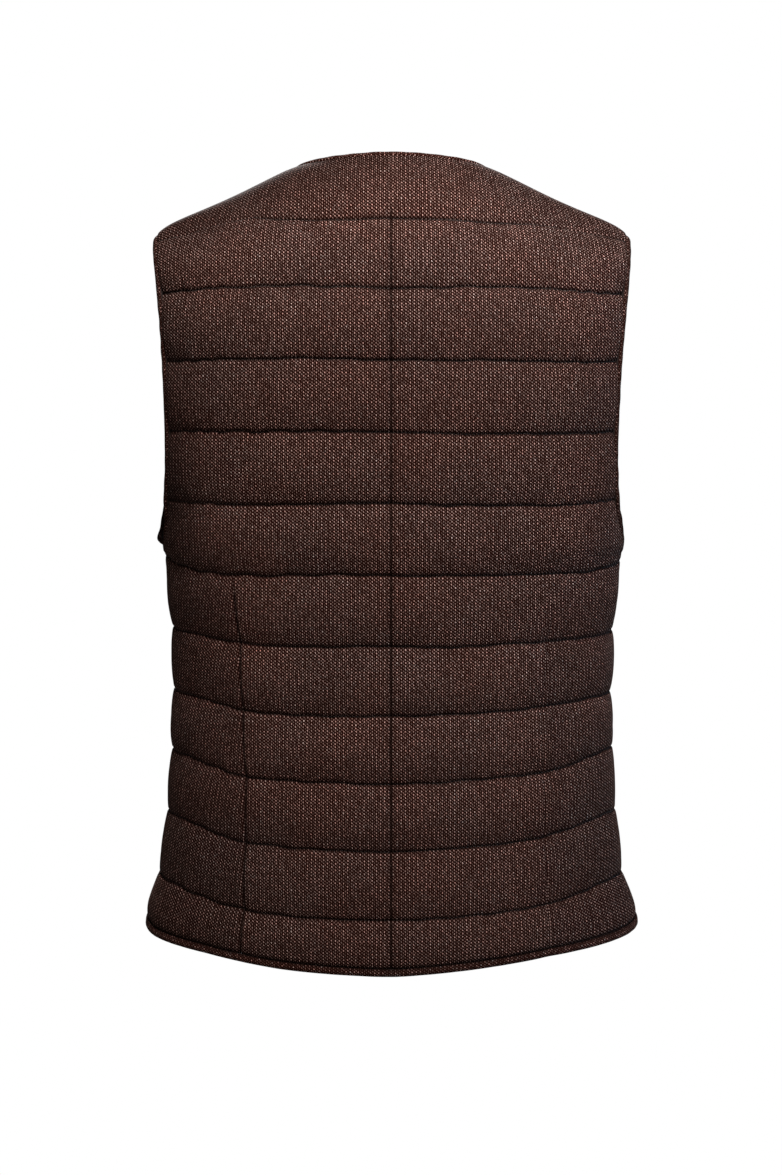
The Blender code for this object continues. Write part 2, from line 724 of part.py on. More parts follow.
def add_neck_welt(name, back, front, neck, front_pairs):
    """Up the left front edge, round the neck, and down the right front edge."""
    corner = (front_pairs[0][0][0], 0.0), (front_pairs[0][1][0], 0.0)
    pairs = [corner] + list(front_pairs)
    neck_pairs = neck_places(neck)
    stations = [station(front, pair) for pair in pairs]
    stations += [station(back, pair) for pair in neck_pairs[-2::-1]]
    stations += [station(back, pair, mirror=True) for pair in neck_pairs[1:-1]]
    stations += [station(front, pair, mirror=True, right_front=True) for pair in pairs[::-1]]
    return add_welt(name, stations, closed=False)


def add_button(name, sheet, height):
    """A turned button with a raised rim and four thread holes, flat against the left front."""
    profile = (
        (0.0, 0.0),
        (BUTTON_RADIUS - BUTTON_EDGE, 0.0),
        (BUTTON_RADIUS, BUTTON_EDGE),
        (BUTTON_RADIUS, BUTTON_THICKNESS - BUTTON_EDGE),
        (BUTTON_RADIUS - BUTTON_EDGE, BUTTON_THICKNESS),
        (BUTTON_RADIUS - BUTTON_RIM, BUTTON_THICKNESS),
        (BUTTON_RADIUS - BUTTON_RIM - BUTTON_EDGE, BUTTON_THICKNESS - BUTTON_DISH),
        (0.0, BUTTON_THICKNESS - BUTTON_DISH),
    )
    vertices = [(0.0, 0.0, profile[0][1]), (0.0, 0.0, profile[-1][1])]
    for radius, rise in profile[1:-1]:
        for side in range(BUTTON_SIDES):
            turn = 2 * math.pi * side / BUTTON_SIDES
            vertices.append((radius * math.cos(turn), radius * math.sin(turn), rise))
    faces = []
    for side in range(BUTTON_SIDES):
        after = (side + 1) % BUTTON_SIDES
        faces.append([0, 2 + after, 2 + side])
        for ring in range(len(profile) - 3):
            low, high = 2 + ring * BUTTON_SIDES, 2 + (ring + 1) * BUTTON_SIDES
            faces.append([low + side, low + after, high + after, high + side])
        top = 2 + (len(profile) - 3) * BUTTON_SIDES
        faces.append([1, top + side, top + after])
    button = add_solid(name, vertices, faces, HORN)
    point, normal = sheet.at(0.0, sheet.level_at(height))
    tilt = math.atan2(normal[2], -normal[1])
    button.location = point + normal * BUTTON_CLEARANCE
    button.rotation_euler = (math.radians(90) - tilt, 0.0, 0.0)
    drill_thread_holes(button)
    return button


def drill_thread_holes(button):
    """The thread holes through a button, each cut by a peg."""
    for number in range(HOLE_COUNT):
        turn = 2 * math.pi * (number + 0.5) / HOLE_COUNT
        mesh = bpy.data.meshes.new(f"peg_{button.name}_{number}")
        peg = bpy.data.objects.new(mesh.name, mesh)
        bpy.context.scene.collection.objects.link(peg)
        vertices, faces = [], []
        for end in (-PEG_OVERHANG, BUTTON_THICKNESS + PEG_OVERHANG):
            for side in range(HOLE_SIDES):
                angle = 2 * math.pi * side / HOLE_SIDES
                vertices.append((HOLE_RADIUS * math.cos(angle), HOLE_RADIUS * math.sin(angle), end))
        for side in range(HOLE_SIDES):
            after = (side + 1) % HOLE_SIDES
            faces.append([side, after, HOLE_SIDES + after, HOLE_SIDES + side])
        faces.append(list(range(HOLE_SIDES))[::-1])
        faces.append(list(range(HOLE_SIDES, 2 * HOLE_SIDES)))
        mesh.from_pydata(vertices, [], faces)
        peg.parent = button
        peg.location = (HOLE_OFFSET * math.cos(turn), HOLE_OFFSET * math.sin(turn), 0.0)
        peg.hide_render = True
        peg.display_type = "WIRE"
        cut = button.modifiers.new(f"hole_{number}", "BOOLEAN")
        cut.operation = "DIFFERENCE"
        cut.solver = "EXACT"
        cut.object = peg


def main():
    for obj in list(bpy.data.objects):
        bpy.data.objects.remove(obj, do_unlink=True)

    back, front = Sheet(BACK), Sheet(FRONT)
    back_armhole = Edge(back, armhole_line(back), inward=-1)
    front_armhole = Edge(front, armhole_line(front), inward=-1)
    neck = Edge(back, neck_line(back), inward=1)
    front_edge = Edge(front, front_line(front), inward=1)

    back_sides = side_places(back, back_armhole)
    front_sides = side_places(front, front_armhole)
    left_back = back_grid(back, back_armhole, neck, mirror=False)
    right_back = back_grid(back, back_armhole, neck, mirror=True)
    fronts = front_grid(front, front_armhole, front_edge)
    dart_column = sum(BACK_COLUMNS[:2])

    add_panel("back_left", back, left_back, dart_column)
    add_panel("back_right", back, right_back, dart_column, mirror=True)
    add_panel("front_left", front, fronts)
    add_panel("front_right", front, fronts, mirror=True, right_front=True)

    add_armhole_welt("armhole_welt_left", back, front, back_sides, front_sides, mirror=False)
    add_armhole_welt("armhole_welt_right", back, front, back_sides, front_sides, mirror=True)
    add_neck_welt("neck_welt", back, front, neck, front_places(front_edge))
    back_run = [(back, left_back[0][::-1], False, False), (back, right_back[0], True, False)]
    add_hem_welt("hem_welt_back", back_run)
    hem_front = [(fronts[0][0][0] + SEAM_GAP, WELT)] + fronts[0][1:]
    add_hem_welt("hem_welt_front_left", [(front, hem_front, False, False)])
    add_hem_welt("hem_welt_front_right", [(front, hem_front, True, True)])

    for number in range(BUTTON_COUNT):
        add_button(f"button_{number + 1}", front, BUTTON_TOP_HEIGHT - number * BUTTON_SPACING)


main()
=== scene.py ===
"""A quilted wool vest, filled out as it is when worn, with nobody in it.

Metres, +Z up. The front faces -Y, the back faces +Y and the wearer's left is +X. Every panel
and every welt is laid out on a flat paper pattern in two lengths: ACROSS, measured round the
body from the centre line, and UP, measured over the cloth from the hem edge.
"""

import logging
import math
from dataclasses import dataclass, field
from enum import Enum
from typing import Iterable, Optional, Sequence, Union

import bpy
import numpy as np
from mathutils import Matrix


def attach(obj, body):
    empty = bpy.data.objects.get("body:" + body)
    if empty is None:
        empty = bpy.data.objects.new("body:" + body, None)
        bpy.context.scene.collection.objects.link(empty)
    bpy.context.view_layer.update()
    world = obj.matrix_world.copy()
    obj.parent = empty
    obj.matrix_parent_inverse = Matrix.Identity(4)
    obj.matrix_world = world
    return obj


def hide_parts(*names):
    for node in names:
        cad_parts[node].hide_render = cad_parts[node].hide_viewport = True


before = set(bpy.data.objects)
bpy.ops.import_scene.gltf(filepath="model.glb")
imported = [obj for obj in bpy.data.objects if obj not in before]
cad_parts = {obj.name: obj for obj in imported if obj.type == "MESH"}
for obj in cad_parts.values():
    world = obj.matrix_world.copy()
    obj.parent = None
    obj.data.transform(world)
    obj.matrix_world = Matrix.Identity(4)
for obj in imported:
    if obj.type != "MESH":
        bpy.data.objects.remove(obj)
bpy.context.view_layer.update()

log = logging.getLogger("vest")
Colour = tuple[float, float, float]
Socket = bpy.types.NodeSocket
Value = Union[float, Sequence[float], Socket]
ROOT = "root"
CLOTH_MAP = "cloth"
BAKE_MAP = "OFBake"
# Name of the point attribute that carries painted shade: in seams, along the welts and over shaded
# parts of the panels.
PAINTED_SHADE = "crease"
MM = 0.001
TINY = 1e-9
WAVE_START = (0.0, 6.3)      # range of a wave's random start, in radians


class Side(Enum):
    """The front or the back of the vest."""

    FRONT = -1
    BACK = 1


class Half(Enum):
    """The wearer's left or right."""

    LEFT = 1
    RIGHT = -1


# ---- Small shared functions ----


def smooth_column(places: np.ndarray, values: np.ndarray, at: np.ndarray) -> np.ndarray:
    """A cubic Hermite curve through the values of a table.

    Args:
        places: where the values are given, rising.
        values: the table's values.
        at: where to read the curve.

    Returns:
        The curve's values.
    """
    slopes = np.gradient(values, places)
    at = np.clip(at, places[0], places[-1])
    low = np.clip(np.searchsorted(places, at, side="right") - 1, 0, len(places) - 2)
    span = places[low + 1] - places[low]
    t = (at - places[low]) / span
    return (
        values[low] * (1 + 2 * t) * (1 - t) ** 2
        + slopes[low] * span * t * (1 - t) ** 2
        + values[low + 1] * t * t * (3 - 2 * t)
        + slopes[low + 1] * span * t * t * (t - 1)
    )


def smoothstep(low: float, high: float, value: np.ndarray) -> np.ndarray:
    """From 0 at the low value to 1 at the high one, level at both ends."""
    t = np.clip((value - low) / (high - low), 0.0, 1.0)
    return t * t * (3 - 2 * t)


def bell(distance: np.ndarray, width: float) -> np.ndarray:
    """A bell curve, 1 at no distance."""
    return np.exp(-((distance / width) ** 2))


def eased(count: int, start: float, end: float) -> np.ndarray:
    """Shares from 0 to 1 whose steps are finer at the ends.

    Args:
        count: how many steps.
        start: size of the first step, against an even one.
        end: size of the last step, against an even one.

    Returns:
        count + 1 shares.
    """
    middle = (np.arange(count) + 0.5) / count
    steps = 1 - (1 - start) * np.exp(-middle * 7) - (1 - end) * np.exp(-(1 - middle) * 7)
    return np.concatenate([[0.0], np.cumsum(steps)]) / steps.sum()


def spread(stops: Sequence[float], shares: Sequence[np.ndarray]) -> np.ndarray:
    """Values that run through the stops, spaced by the shares between each two."""
    parts = [low + (high - low) * s for low, high, s in zip(stops, stops[1:], shares)]
    return np.concatenate([parts[0]] + [part[1:] for part in parts[1:]])


def sunk_line(distance: np.ndarray, section: tuple[float, ...]) -> np.ndarray:
    """Depth beside a sunk line, 1 in its bottom: a narrow groove in a wider trough.

    Args:
        distance: distance over the cloth from the line.
        section: the groove's share and width, then the trough's share and reach.

    Returns:
        Shares of the line's depth.
    """
    groove, width, trough, reach = section
    return groove * bell(distance, width) + trough * np.exp(-distance / reach)


def unit(vectors: np.ndarray) -> np.ndarray:
    """The vectors at length 1."""
    return vectors / np.maximum(np.linalg.norm(vectors, axis=-1, keepdims=True), TINY)


def run_lengths(points: np.ndarray, axis: int) -> np.ndarray:
    """Length over a net of points from its first row or column.

    Args:
        points: the net's points.
        axis: 0 to run up the rows, 1 to run across them.

    Returns:
        Lengths in metres, one for each point.
    """
    steps = np.linalg.norm(np.diff(points, axis=axis), axis=2)
    start = np.zeros_like(np.take(steps, [0], axis=axis))
    return np.concatenate([start, np.cumsum(steps, axis=axis)], axis=axis)


# ---- The form ----


@dataclass(frozen=True)
class VestForm:
    """Sizes of the vest's smooth form, before it is quilted."""

    # Columns: height, half width, depth of the back, depth of the front, outline power.
    body: tuple[tuple[float, ...], ...] = (
        (-0.620, 0.2115, 0.1295, 0.1210, 2.00),
        (-0.600, 0.2105, 0.1285, 0.1205, 2.00),
        (-0.575, 0.2030, 0.1250, 0.1195, 2.00),
        (-0.540, 0.1968, 0.1200, 0.1175, 2.03),
        (-0.505, 0.1922, 0.1155, 0.1155, 2.05),
        (-0.470, 0.1904, 0.1115, 0.1140, 2.07),
        (-0.435, 0.1888, 0.1085, 0.1135, 2.10),
        (-0.400, 0.1878, 0.1075, 0.1145, 2.12),
        (-0.365, 0.1884, 0.1085, 0.1170, 2.15),
        (-0.330, 0.1904, 0.1115, 0.1205, 2.20),
        (-0.300, 0.1930, 0.1150, 0.1235, 2.25),
        (-0.285, 0.1958, 0.1165, 0.1248, 2.30),
        (-0.260, 0.1962, 0.1190, 0.1265, 2.35),
        (-0.230, 0.1954, 0.1215, 0.1280, 2.40),
        (-0.200, 0.1960, 0.1232, 0.1285, 2.45),
        (-0.175, 0.1968, 0.1240, 0.1280, 2.50),
        (-0.150, 0.1982, 0.1242, 0.1275, 2.50),
    )
    hem_rise: float = 0.0078
    arch_power: float = 2.2
    arch_widening: float = 1.3
    overlap_angle: float = 20.0
    neck_point: tuple[float, float] = (0.0750, 0.0250)
    shoulder_slope: float = 0.458
    ridge_rounding: float = 0.035
    shoulder_sag: float = 0.0022
    shoulder_tip: float = 0.1975
    tip_drop: float = 0.0060
    tip_rounding: float = 26
    seam_forward: float = 0.010
    underarm_height: float = -0.286
    armhole_back_depth: float = 0.0600
    armhole_front_depth: float = 0.0640
    armhole_power: float = 2.3
    nape_up: float = 0.0770
    neck_power: float = 2.00
    vee_height: float = -0.235
    vee_power: float = 1.12
    front_lap: float = 0.018
    lap_step: float = 0.0062
    lap_blend: float = 0.040
    lap_fade: tuple[float, float] = (-0.170, -0.110)
    wall: float = 0.0050
    welt: float = 0.0065
    pitch: float = 0.0552
    seams: int = 11
    hem_row: float = 0.0450
    neck_fan: float = 1.3
    underarm_row: int = 6
    # Columns: height, distance of the left dart from the centre plane, of the right dart.
    darts: tuple[tuple[float, ...], ...] = (
        (-0.620, 0.1225, 0.1290),
        (-0.580, 0.1198, 0.1275),
        (-0.535, 0.1186, 0.1251),
        (-0.478, 0.1175, 0.1237),
        (-0.418, 0.1199, 0.1218),
        (-0.363, 0.1218, 0.1258),
        (-0.316, 0.1253, 0.1309),
        (-0.150, 0.1300, 0.1330),
    )
    dart_top: float = -0.306

    @property
    def hem_height(self) -> float:
        """Height of the hem edge."""
        return self.body[0][0]

    @property
    def arch_height(self) -> float:
        """The widest level of the armholes, where the sheets begin to arch over."""
        return self.body[-1][0]

    def seam_up(self, number: int) -> float:
        """Length from the hem edge up to a quilt seam, counted from 0 at the hem."""
        return self.hem_row + number * self.pitch

    def body_at(self, height: np.ndarray, side: Side) -> list[np.ndarray]:
        """Half width, depth and outline power of one side's section at a height."""
        table = np.array(self.body)
        columns = (1, 2 if side is Side.BACK else 3, 4)
        return [smooth_column(table[:, 0], table[:, column], height) for column in columns]

    def section(self, angle: np.ndarray, side: Side, height: float) -> tuple[np.ndarray, ...]:
        """A point of a flat section, at an angle from 0 at the centre to 90 degrees.

        Args:
            angle: the angle, in radians.
            side: front or back.
            height: the section's height.

        Returns:
            Distance across and depth.
        """
        half_width, depth, outline = self.body_at(height, side)
        power = 2 / outline
        across = half_width * np.sign(np.sin(angle)) * np.abs(np.sin(angle)) ** power
        return across, depth * np.abs(np.cos(angle)) ** power

    def armhole_depth(self, side: Side) -> float:
        """How far the armhole reaches from the side seam."""
        return self.armhole_back_depth if side is Side.BACK else self.armhole_front_depth

    def angle_at_depth(self, side: Side, height: float, wanted: float) -> float:
        """The section angle where the sheet is this far from the side line.

        Args:
            side: front or back.
            height: the section's height.
            wanted: depth from the side line.

        Returns:
            The angle, in radians.
        """
        _, depth, outline = self.body_at(height, side)
        return np.arccos(np.clip((wanted / depth) ** (outline / 2), 0.0, 1.0))

    def ridge_height(self, across: np.ndarray) -> np.ndarray:
        """Height of the shoulder ridge at a distance from the centre plane."""
        across = np.abs(across)
        start, top = self.neck_point
        run = np.hypot(across, self.ridge_rounding) - math.hypot(start, self.ridge_rounding)
        along = np.clip((across - start) / (self.shoulder_tip - start), 0.0, 1.0)
        sag = self.shoulder_sag * np.sin(math.pi * along) ** 2
        drop = self.tip_drop * (across / self.shoulder_tip) ** self.tip_rounding
        return top - self.shoulder_slope * run - sag - drop

    def tip_stretch(self, side: Side) -> float:
        """The ridge's half width against the half width where the arch begins."""
        angle = self.angle_at_depth(side, self.arch_height, self.armhole_depth(side))
        return self.shoulder_tip / self.section(angle, side, self.arch_height)[0]

    def arch(self, across: np.ndarray, depth: np.ndarray, side: Side,
             turn: np.ndarray) -> tuple[np.ndarray, ...]:
        """A point on the arch up to the ridge, at a turn from 0 to 90 degrees.

        Args:
            across: distance across where the arch begins.
            depth: depth there.
            side: front or back.
            turn: how far up the arch, in radians.

        Returns:
            Distance across, depth and height.
        """
        rise = np.sin(turn) ** (2 / self.arch_power)
        widen = 1 + (self.tip_stretch(side) - 1) * rise ** self.arch_widening
        top = self.ridge_height(across * self.tip_stretch(side))
        height = self.arch_height + (top - self.arch_height) * rise
        return across * widen, depth * np.cos(turn), height

    def lap_depth(self, points: np.ndarray) -> np.ndarray:
        """How far the right front lies behind the left one."""
        low, high = self.lap_fade
        beside = smoothstep(-self.front_lap - self.lap_blend, -self.front_lap, points[..., 0])
        return self.lap_step * beside * (1 - smoothstep(low, high, points[..., 2]))


class ClothSheet:
    """The back or the front as one smooth sheet, read at places of the pattern."""

    WALL_ROWS = 110
    ARCH_ROWS = 70
    ANGLES = 100
    TABLE_STEP = 0.0015
    TABLE_TOP = 0.74
    TABLE_SHARES = np.linspace(-0.3, 1.0, 261)

    def __init__(self, form: VestForm, side: Side) -> None:
        """Lay out the net of one side and tabulate it."""
        self.form = form
        self.side = side
        angles = np.radians(np.linspace(-form.overlap_angle, 90.0, self.ANGLES + 1))
        self.centre = int(np.argmin(np.abs(angles)))
        angles -= angles[self.centre]
        self.angles = np.minimum(angles, math.pi / 2)
        self.angles[-1] = math.pi / 2
        self.point = np.concatenate([self._wall_rows(), self._arch_rows()])
        self.level = self._measure_levels()
        self.normal = self._measure_normals()
        self._tabulate()
        self.seam = np.array([(self.ring(level)[0][index], level)
                              for index, level in enumerate(self.level[-1])])

    def _wall_rows(self) -> np.ndarray:
        """The flat sections from the hem edge up to where the arch begins."""
        form = self.form
        heights = np.linspace(form.hem_height, form.arch_height, self.WALL_ROWS)
        rows = np.empty((len(heights), len(self.angles), 3))
        for row, height in zip(rows, heights):
            across, depth = form.section(self.angles, self.side, height)
            row[:, 0] = across
            row[:, 1] = depth * self.side.value
            row[:, 2] = height
        return rows

    def _arch_rows(self) -> np.ndarray:
        """From the walls to the shoulder seam, which the back passes the ridge to reach."""
        form = self.form
        across, depth = form.section(self.angles, self.side, form.arch_height)
        own_stretch, front_stretch = form.tip_stretch(self.side), form.tip_stretch(Side.FRONT)
        ridge_across = across * own_stretch
        front_row = form.section(self.angles, Side.FRONT, form.arch_height)
        front_depth = np.interp(np.abs(ridge_across) / front_stretch,
                                front_row[0][self.centre:], front_row[1][self.centre:])
        past = np.arcsin(form.seam_forward / np.maximum(front_depth, 2 * form.seam_forward))
        rows = np.empty((self.ARCH_ROWS, len(self.angles), 3))
        for index, row in enumerate(rows):
            turn = (index + 1) / self.ARCH_ROWS * (math.pi / 2 + past * self.side.value)
            own = form.arch(across, depth, self.side, np.minimum(turn, math.pi / 2))
            beyond = form.arch(ridge_across / front_stretch, front_depth, Side.FRONT,
                               np.minimum(math.pi - turn, math.pi / 2))
            over = turn > math.pi / 2
            row[:, 0] = np.where(over, beyond[0], own[0])
            row[:, 1] = np.where(over, -beyond[1], own[1] * self.side.value)
            row[:, 2] = np.where(over, beyond[2], own[2])
        return rows

    def _measure_levels(self) -> np.ndarray:
        """Length over the cloth from the hem edge to each point of the net."""
        steps = np.linalg.norm(np.diff(self.point, axis=0), axis=2)
        walls = self.WALL_ROWS - 1
        steps[:walls] = steps[:walls, self.centre, None]
        return np.concatenate([np.zeros((1, len(self.angles))), np.cumsum(steps, axis=0)])

    def _measure_normals(self) -> np.ndarray:
        """Outward normals of the net. On the side line they point straight out."""
        up = np.gradient(self.point, axis=0)
        round_body = np.gradient(self.point, axis=1)
        normal = np.cross(up, round_body) * self.side.value
        normal[:self.WALL_ROWS, -1, 1] = 0.0
        normal[self.WALL_ROWS:, -1] = (1.0, 0.0, 0.0)
        return unit(normal)

    def ring(self, level: float) -> tuple[np.ndarray, np.ndarray, np.ndarray]:
        """The level line of the sheet: lengths from the centre, points and normals.

        Args:
            level: length over the cloth from the hem edge.

        Returns:
            Lengths from the centre line, points and outward normals.
        """
        columns = np.arange(len(self.angles))
        low = np.clip((self.level <= level).sum(axis=0) - 1, 0, len(self.level) - 2)
        span = np.maximum(self.level[low + 1, columns] - self.level[low, columns], TINY)
        share = ((level - self.level[low, columns]) / span)[:, None]
        points = self.point[low, columns] * (1 - share) + self.point[low + 1, columns] * share
        normals = self.normal[low, columns] * (1 - share) + self.normal[low + 1, columns] * share
        steps = np.linalg.norm(np.diff(points, axis=0), axis=1)
        lengths = np.concatenate([[0], np.cumsum(steps)])
        return lengths - lengths[self.centre], points, normals

    def _tabulate(self) -> None:
        """Sample the sheet on an even table, so that many places can be read at once."""
        self.table_levels = np.arange(0.0, self.TABLE_TOP, self.TABLE_STEP)
        shares = self.TABLE_SHARES
        self.table = np.empty((len(self.table_levels), len(shares), 6))
        self.sides = np.empty(len(self.table_levels))
        for index, level in enumerate(self.table_levels):
            lengths, points, normals = self.ring(level)
            self.sides[index] = lengths[-1]
            both = np.concatenate([points, normals], axis=1)
            for k in range(6):
                at = np.interp(shares * lengths[-1], lengths, both[:, k])
                self.table[index, :, k] = at

    def at(self, across: np.ndarray, level: np.ndarray) -> tuple[np.ndarray, np.ndarray]:
        """Points and outward normals at places of the pattern.

        Args:
            across: lengths round the body from the centre line.
            level: lengths over the cloth from the hem edge.

        Returns:
            Two arrays, with a last axis of three.
        """
        across, level = np.broadcast_arrays(np.asarray(across, float), np.asarray(level, float))
        row = np.clip(level / self.TABLE_STEP, 0, len(self.table_levels) - 1.001)
        side = np.interp(level, self.table_levels, self.sides)
        shares = self.TABLE_SHARES
        column = (across / side - shares[0]) / (shares[1] - shares[0])
        column = np.clip(column, 0, len(shares) - 1.000001)
        i, j = row.astype(int), column.astype(int)
        u, v = (row - i)[..., None], (column - j)[..., None]
        both = ((self.table[i, j] * (1 - v) + self.table[i, j + 1] * v) * (1 - u)
                + (self.table[i + 1, j] * (1 - v) + self.table[i + 1, j + 1] * v) * u)
        return both[..., :3], unit(both[..., 3:])

    def side_length(self, level: float) -> float:
        """Length round the body from the centre line to the side seam."""
        return np.interp(level, self.table_levels, self.sides)

    def level_at(self, height: float) -> float:
        """Level of a height on the walls."""
        rows = self.WALL_ROWS
        return np.interp(height, self.point[:rows, -1, 2], self.level[:rows, -1])

    def height_at(self, level: float) -> float:
        """Height of a level on the walls."""
        rows = self.WALL_ROWS
        return np.interp(level, self.level[:rows, -1], self.point[:rows, -1, 2])

    def across_of(self, distance: float, level: float) -> float:
        """Length round the body to a distance from the centre plane."""
        lengths, points, _ = self.ring(level)
        return np.interp(distance, points[:, 0], lengths)

    def seam_place(self, across: np.ndarray) -> np.ndarray:
        """Pattern places of the shoulder seam at lengths from the centre line."""
        across = np.asarray(across, float)
        return np.stack([across, np.interp(across, self.seam[:, 0], self.seam[:, 1])], axis=-1)

    def seam_at_distance(self, distance: float) -> np.ndarray:
        """Pattern place of the shoulder seam at a distance from the centre plane."""
        return self.seam_place(np.interp(distance, self.point[-1, :, 0], self.seam[:, 0]))

    def seam_beside(self, place: np.ndarray, distance: float, outward: bool) -> np.ndarray:
        """The seam's place at a distance along the seam from another of its places.

        Args:
            place: the pattern place to start from.
            distance: how far to go over the cloth.
            outward: whether to go towards the armhole.

        Returns:
            The other pattern place.
        """
        steps = np.linspace(0.0, 3 * distance, 61) * (1 if outward else -1)
        others = self.seam_place(place[0] + steps)
        gaps = np.linalg.norm(self.at(others[:, 0], others[:, 1])[0] - self.at(*place)[0], axis=1)
        return self.seam_place(np.interp(distance, gaps, others[:, 0]))


class PatternEdge:
    """A free edge: its outer line, and the inner line where the panel meets the welt."""

    PROBE = 0.0005
    SNAP_SHARE = 0.15

    def __init__(self, sheet: ClothSheet, places: np.ndarray, inward: int) -> None:
        """Offset the outer line; the inner one ends on the shoulder seam.

        Args:
            sheet: the sheet that the edge belongs to.
            places: pattern places of the outer line, ending on the shoulder seam.
            inward: 1 if the panel lies on the line's right, else -1.
        """
        width = sheet.form.welt
        self.outer = places
        self.inner = self._offset(sheet, places, inward * width)
        end = sheet.seam_beside(places[-1], width, self.inner[-1][0] > places[-1][0])
        ease = np.linspace(0.0, 1.0, len(places))
        ease = np.maximum(0.0, (ease - 1 + self.SNAP_SHARE) / self.SNAP_SHARE) ** 2
        self.inner = self.inner + ease[:, None] * (end - self.inner[-1])
        steps = np.linalg.norm(np.diff(self.inner, axis=0), axis=1)
        self.length = np.concatenate([[0.0], np.cumsum(steps)])

    def _offset(self, sheet: ClothSheet, places: np.ndarray, distance: float) -> np.ndarray:
        """The line moved to its right by a distance measured over the cloth.

        Args:
            sheet: the sheet that the line lies on.
            places: the line's pattern places.
            distance: how far, to the left if below 0.

        Returns:
            The moved line's pattern places.
        """
        run, climb = np.gradient(places, axis=0).T
        across, level = places.T
        here = sheet.at(across, level)[0]
        round_body = unit(here - sheet.at(across - self.PROBE, level)[0])
        up = unit(here - sheet.at(across, level - self.PROBE)[0])
        skew = (round_body * up).sum(axis=1)
        right = np.stack([skew * run + climb, -run - skew * climb], axis=1)
        length = np.sqrt(right[:, 0] ** 2 + 2 * skew * right[:, 0] * right[:, 1]
                         + right[:, 1] ** 2)
        return places + distance * right / length[:, None]

    def places(self, length: np.ndarray) -> tuple[np.ndarray, np.ndarray]:
        """The inner and the outer places at lengths along the inner line."""
        lines = []
        for line in (self.inner, self.outer):
            columns = [np.interp(length, self.length, line[:, k]) for k in (0, 1)]
            lines.append(np.stack(columns, axis=-1))
        return lines[0], lines[1]

    def length_at_level(self, level: float) -> float:
        """Length along the inner line up to a level."""
        return np.interp(level, self.inner[:, 1], self.length)


class Pattern:
    """The two sheets and the free edges that the panels and the welts share."""

    SAMPLES = 160

    def __init__(self, form: VestForm) -> None:
        """Lay out both sheets and their edges."""
        self.form = form
        self.sheets = {side: ClothSheet(form, side) for side in Side}
        self.armholes = {side: PatternEdge(sheet, self._armhole_line(sheet), -1)
                         for side, sheet in self.sheets.items()}
        back, front = self.sheets[Side.BACK], self.sheets[Side.FRONT]
        self.neck = PatternEdge(back, self._neck_line(back), 1)
        self.front_edge = PatternEdge(front, self._front_line(front), 1)

    def _armhole_line(self, sheet: ClothSheet) -> np.ndarray:
        """Pattern places of an armhole, from the underarm up to the shoulder seam."""
        form, side = self.form, sheet.side
        depth = form.armhole_depth(side)
        power = 2 / form.armhole_power
        places = []
        for share in np.linspace(0.0, 1.0, self.SAMPLES):
            turn = share * math.pi / 2
            drop = (form.arch_height - form.underarm_height) * math.cos(turn) ** power
            height = form.arch_height - drop
            angle = form.angle_at_depth(side, height, depth * math.sin(turn) ** power)
            level = sheet.level_at(height)
            places.append((np.interp(angle, sheet.angles, sheet.ring(level)[0]), level))
        angle = form.angle_at_depth(side, form.arch_height, depth)
        end_level = np.interp(angle, sheet.angles, sheet.level[-1])
        for level in np.linspace(places[-1][1], end_level, self.SAMPLES)[1:]:
            places.append((np.interp(angle, sheet.angles, sheet.ring(level)[0]), level))
        return np.array(places)

    def _neck_line(self, sheet: ClothSheet) -> np.ndarray:
        """Pattern places of the back neck, from the centre to the shoulder seam."""
        form = self.form
        end = sheet.seam_at_distance(form.neck_point[0])
        start_level = form.seam_up(form.seams - 1) + form.nape_up
        turns = np.linspace(0.0, math.pi / 2, self.SAMPLES)
        across = end[0] * np.sin(turns) ** (2 / form.neck_power)
        level = end[1] - (end[1] - start_level) * np.cos(turns) ** (2 / form.neck_power)
        return np.stack([across, level], axis=1)

    def _front_line(self, sheet: ClothSheet) -> np.ndarray:
        """Pattern places of the front edge and the neck, from the hem upwards."""
        form = self.form
        end = sheet.seam_at_distance(form.neck_point[0])
        vee_level = sheet.level_at(form.vee_height)
        share = np.linspace(0.0, 1.0, self.SAMPLES)
        straight = np.stack([np.full_like(share, -form.front_lap), vee_level * share], axis=1)
        slant = np.stack([
            -form.front_lap + (end[0] + form.front_lap) * share ** form.vee_power,
            vee_level + (end[1] - vee_level) * share,
        ], axis=1)
        return np.concatenate([straight, slant[1:]])


# ---- Meshes ----


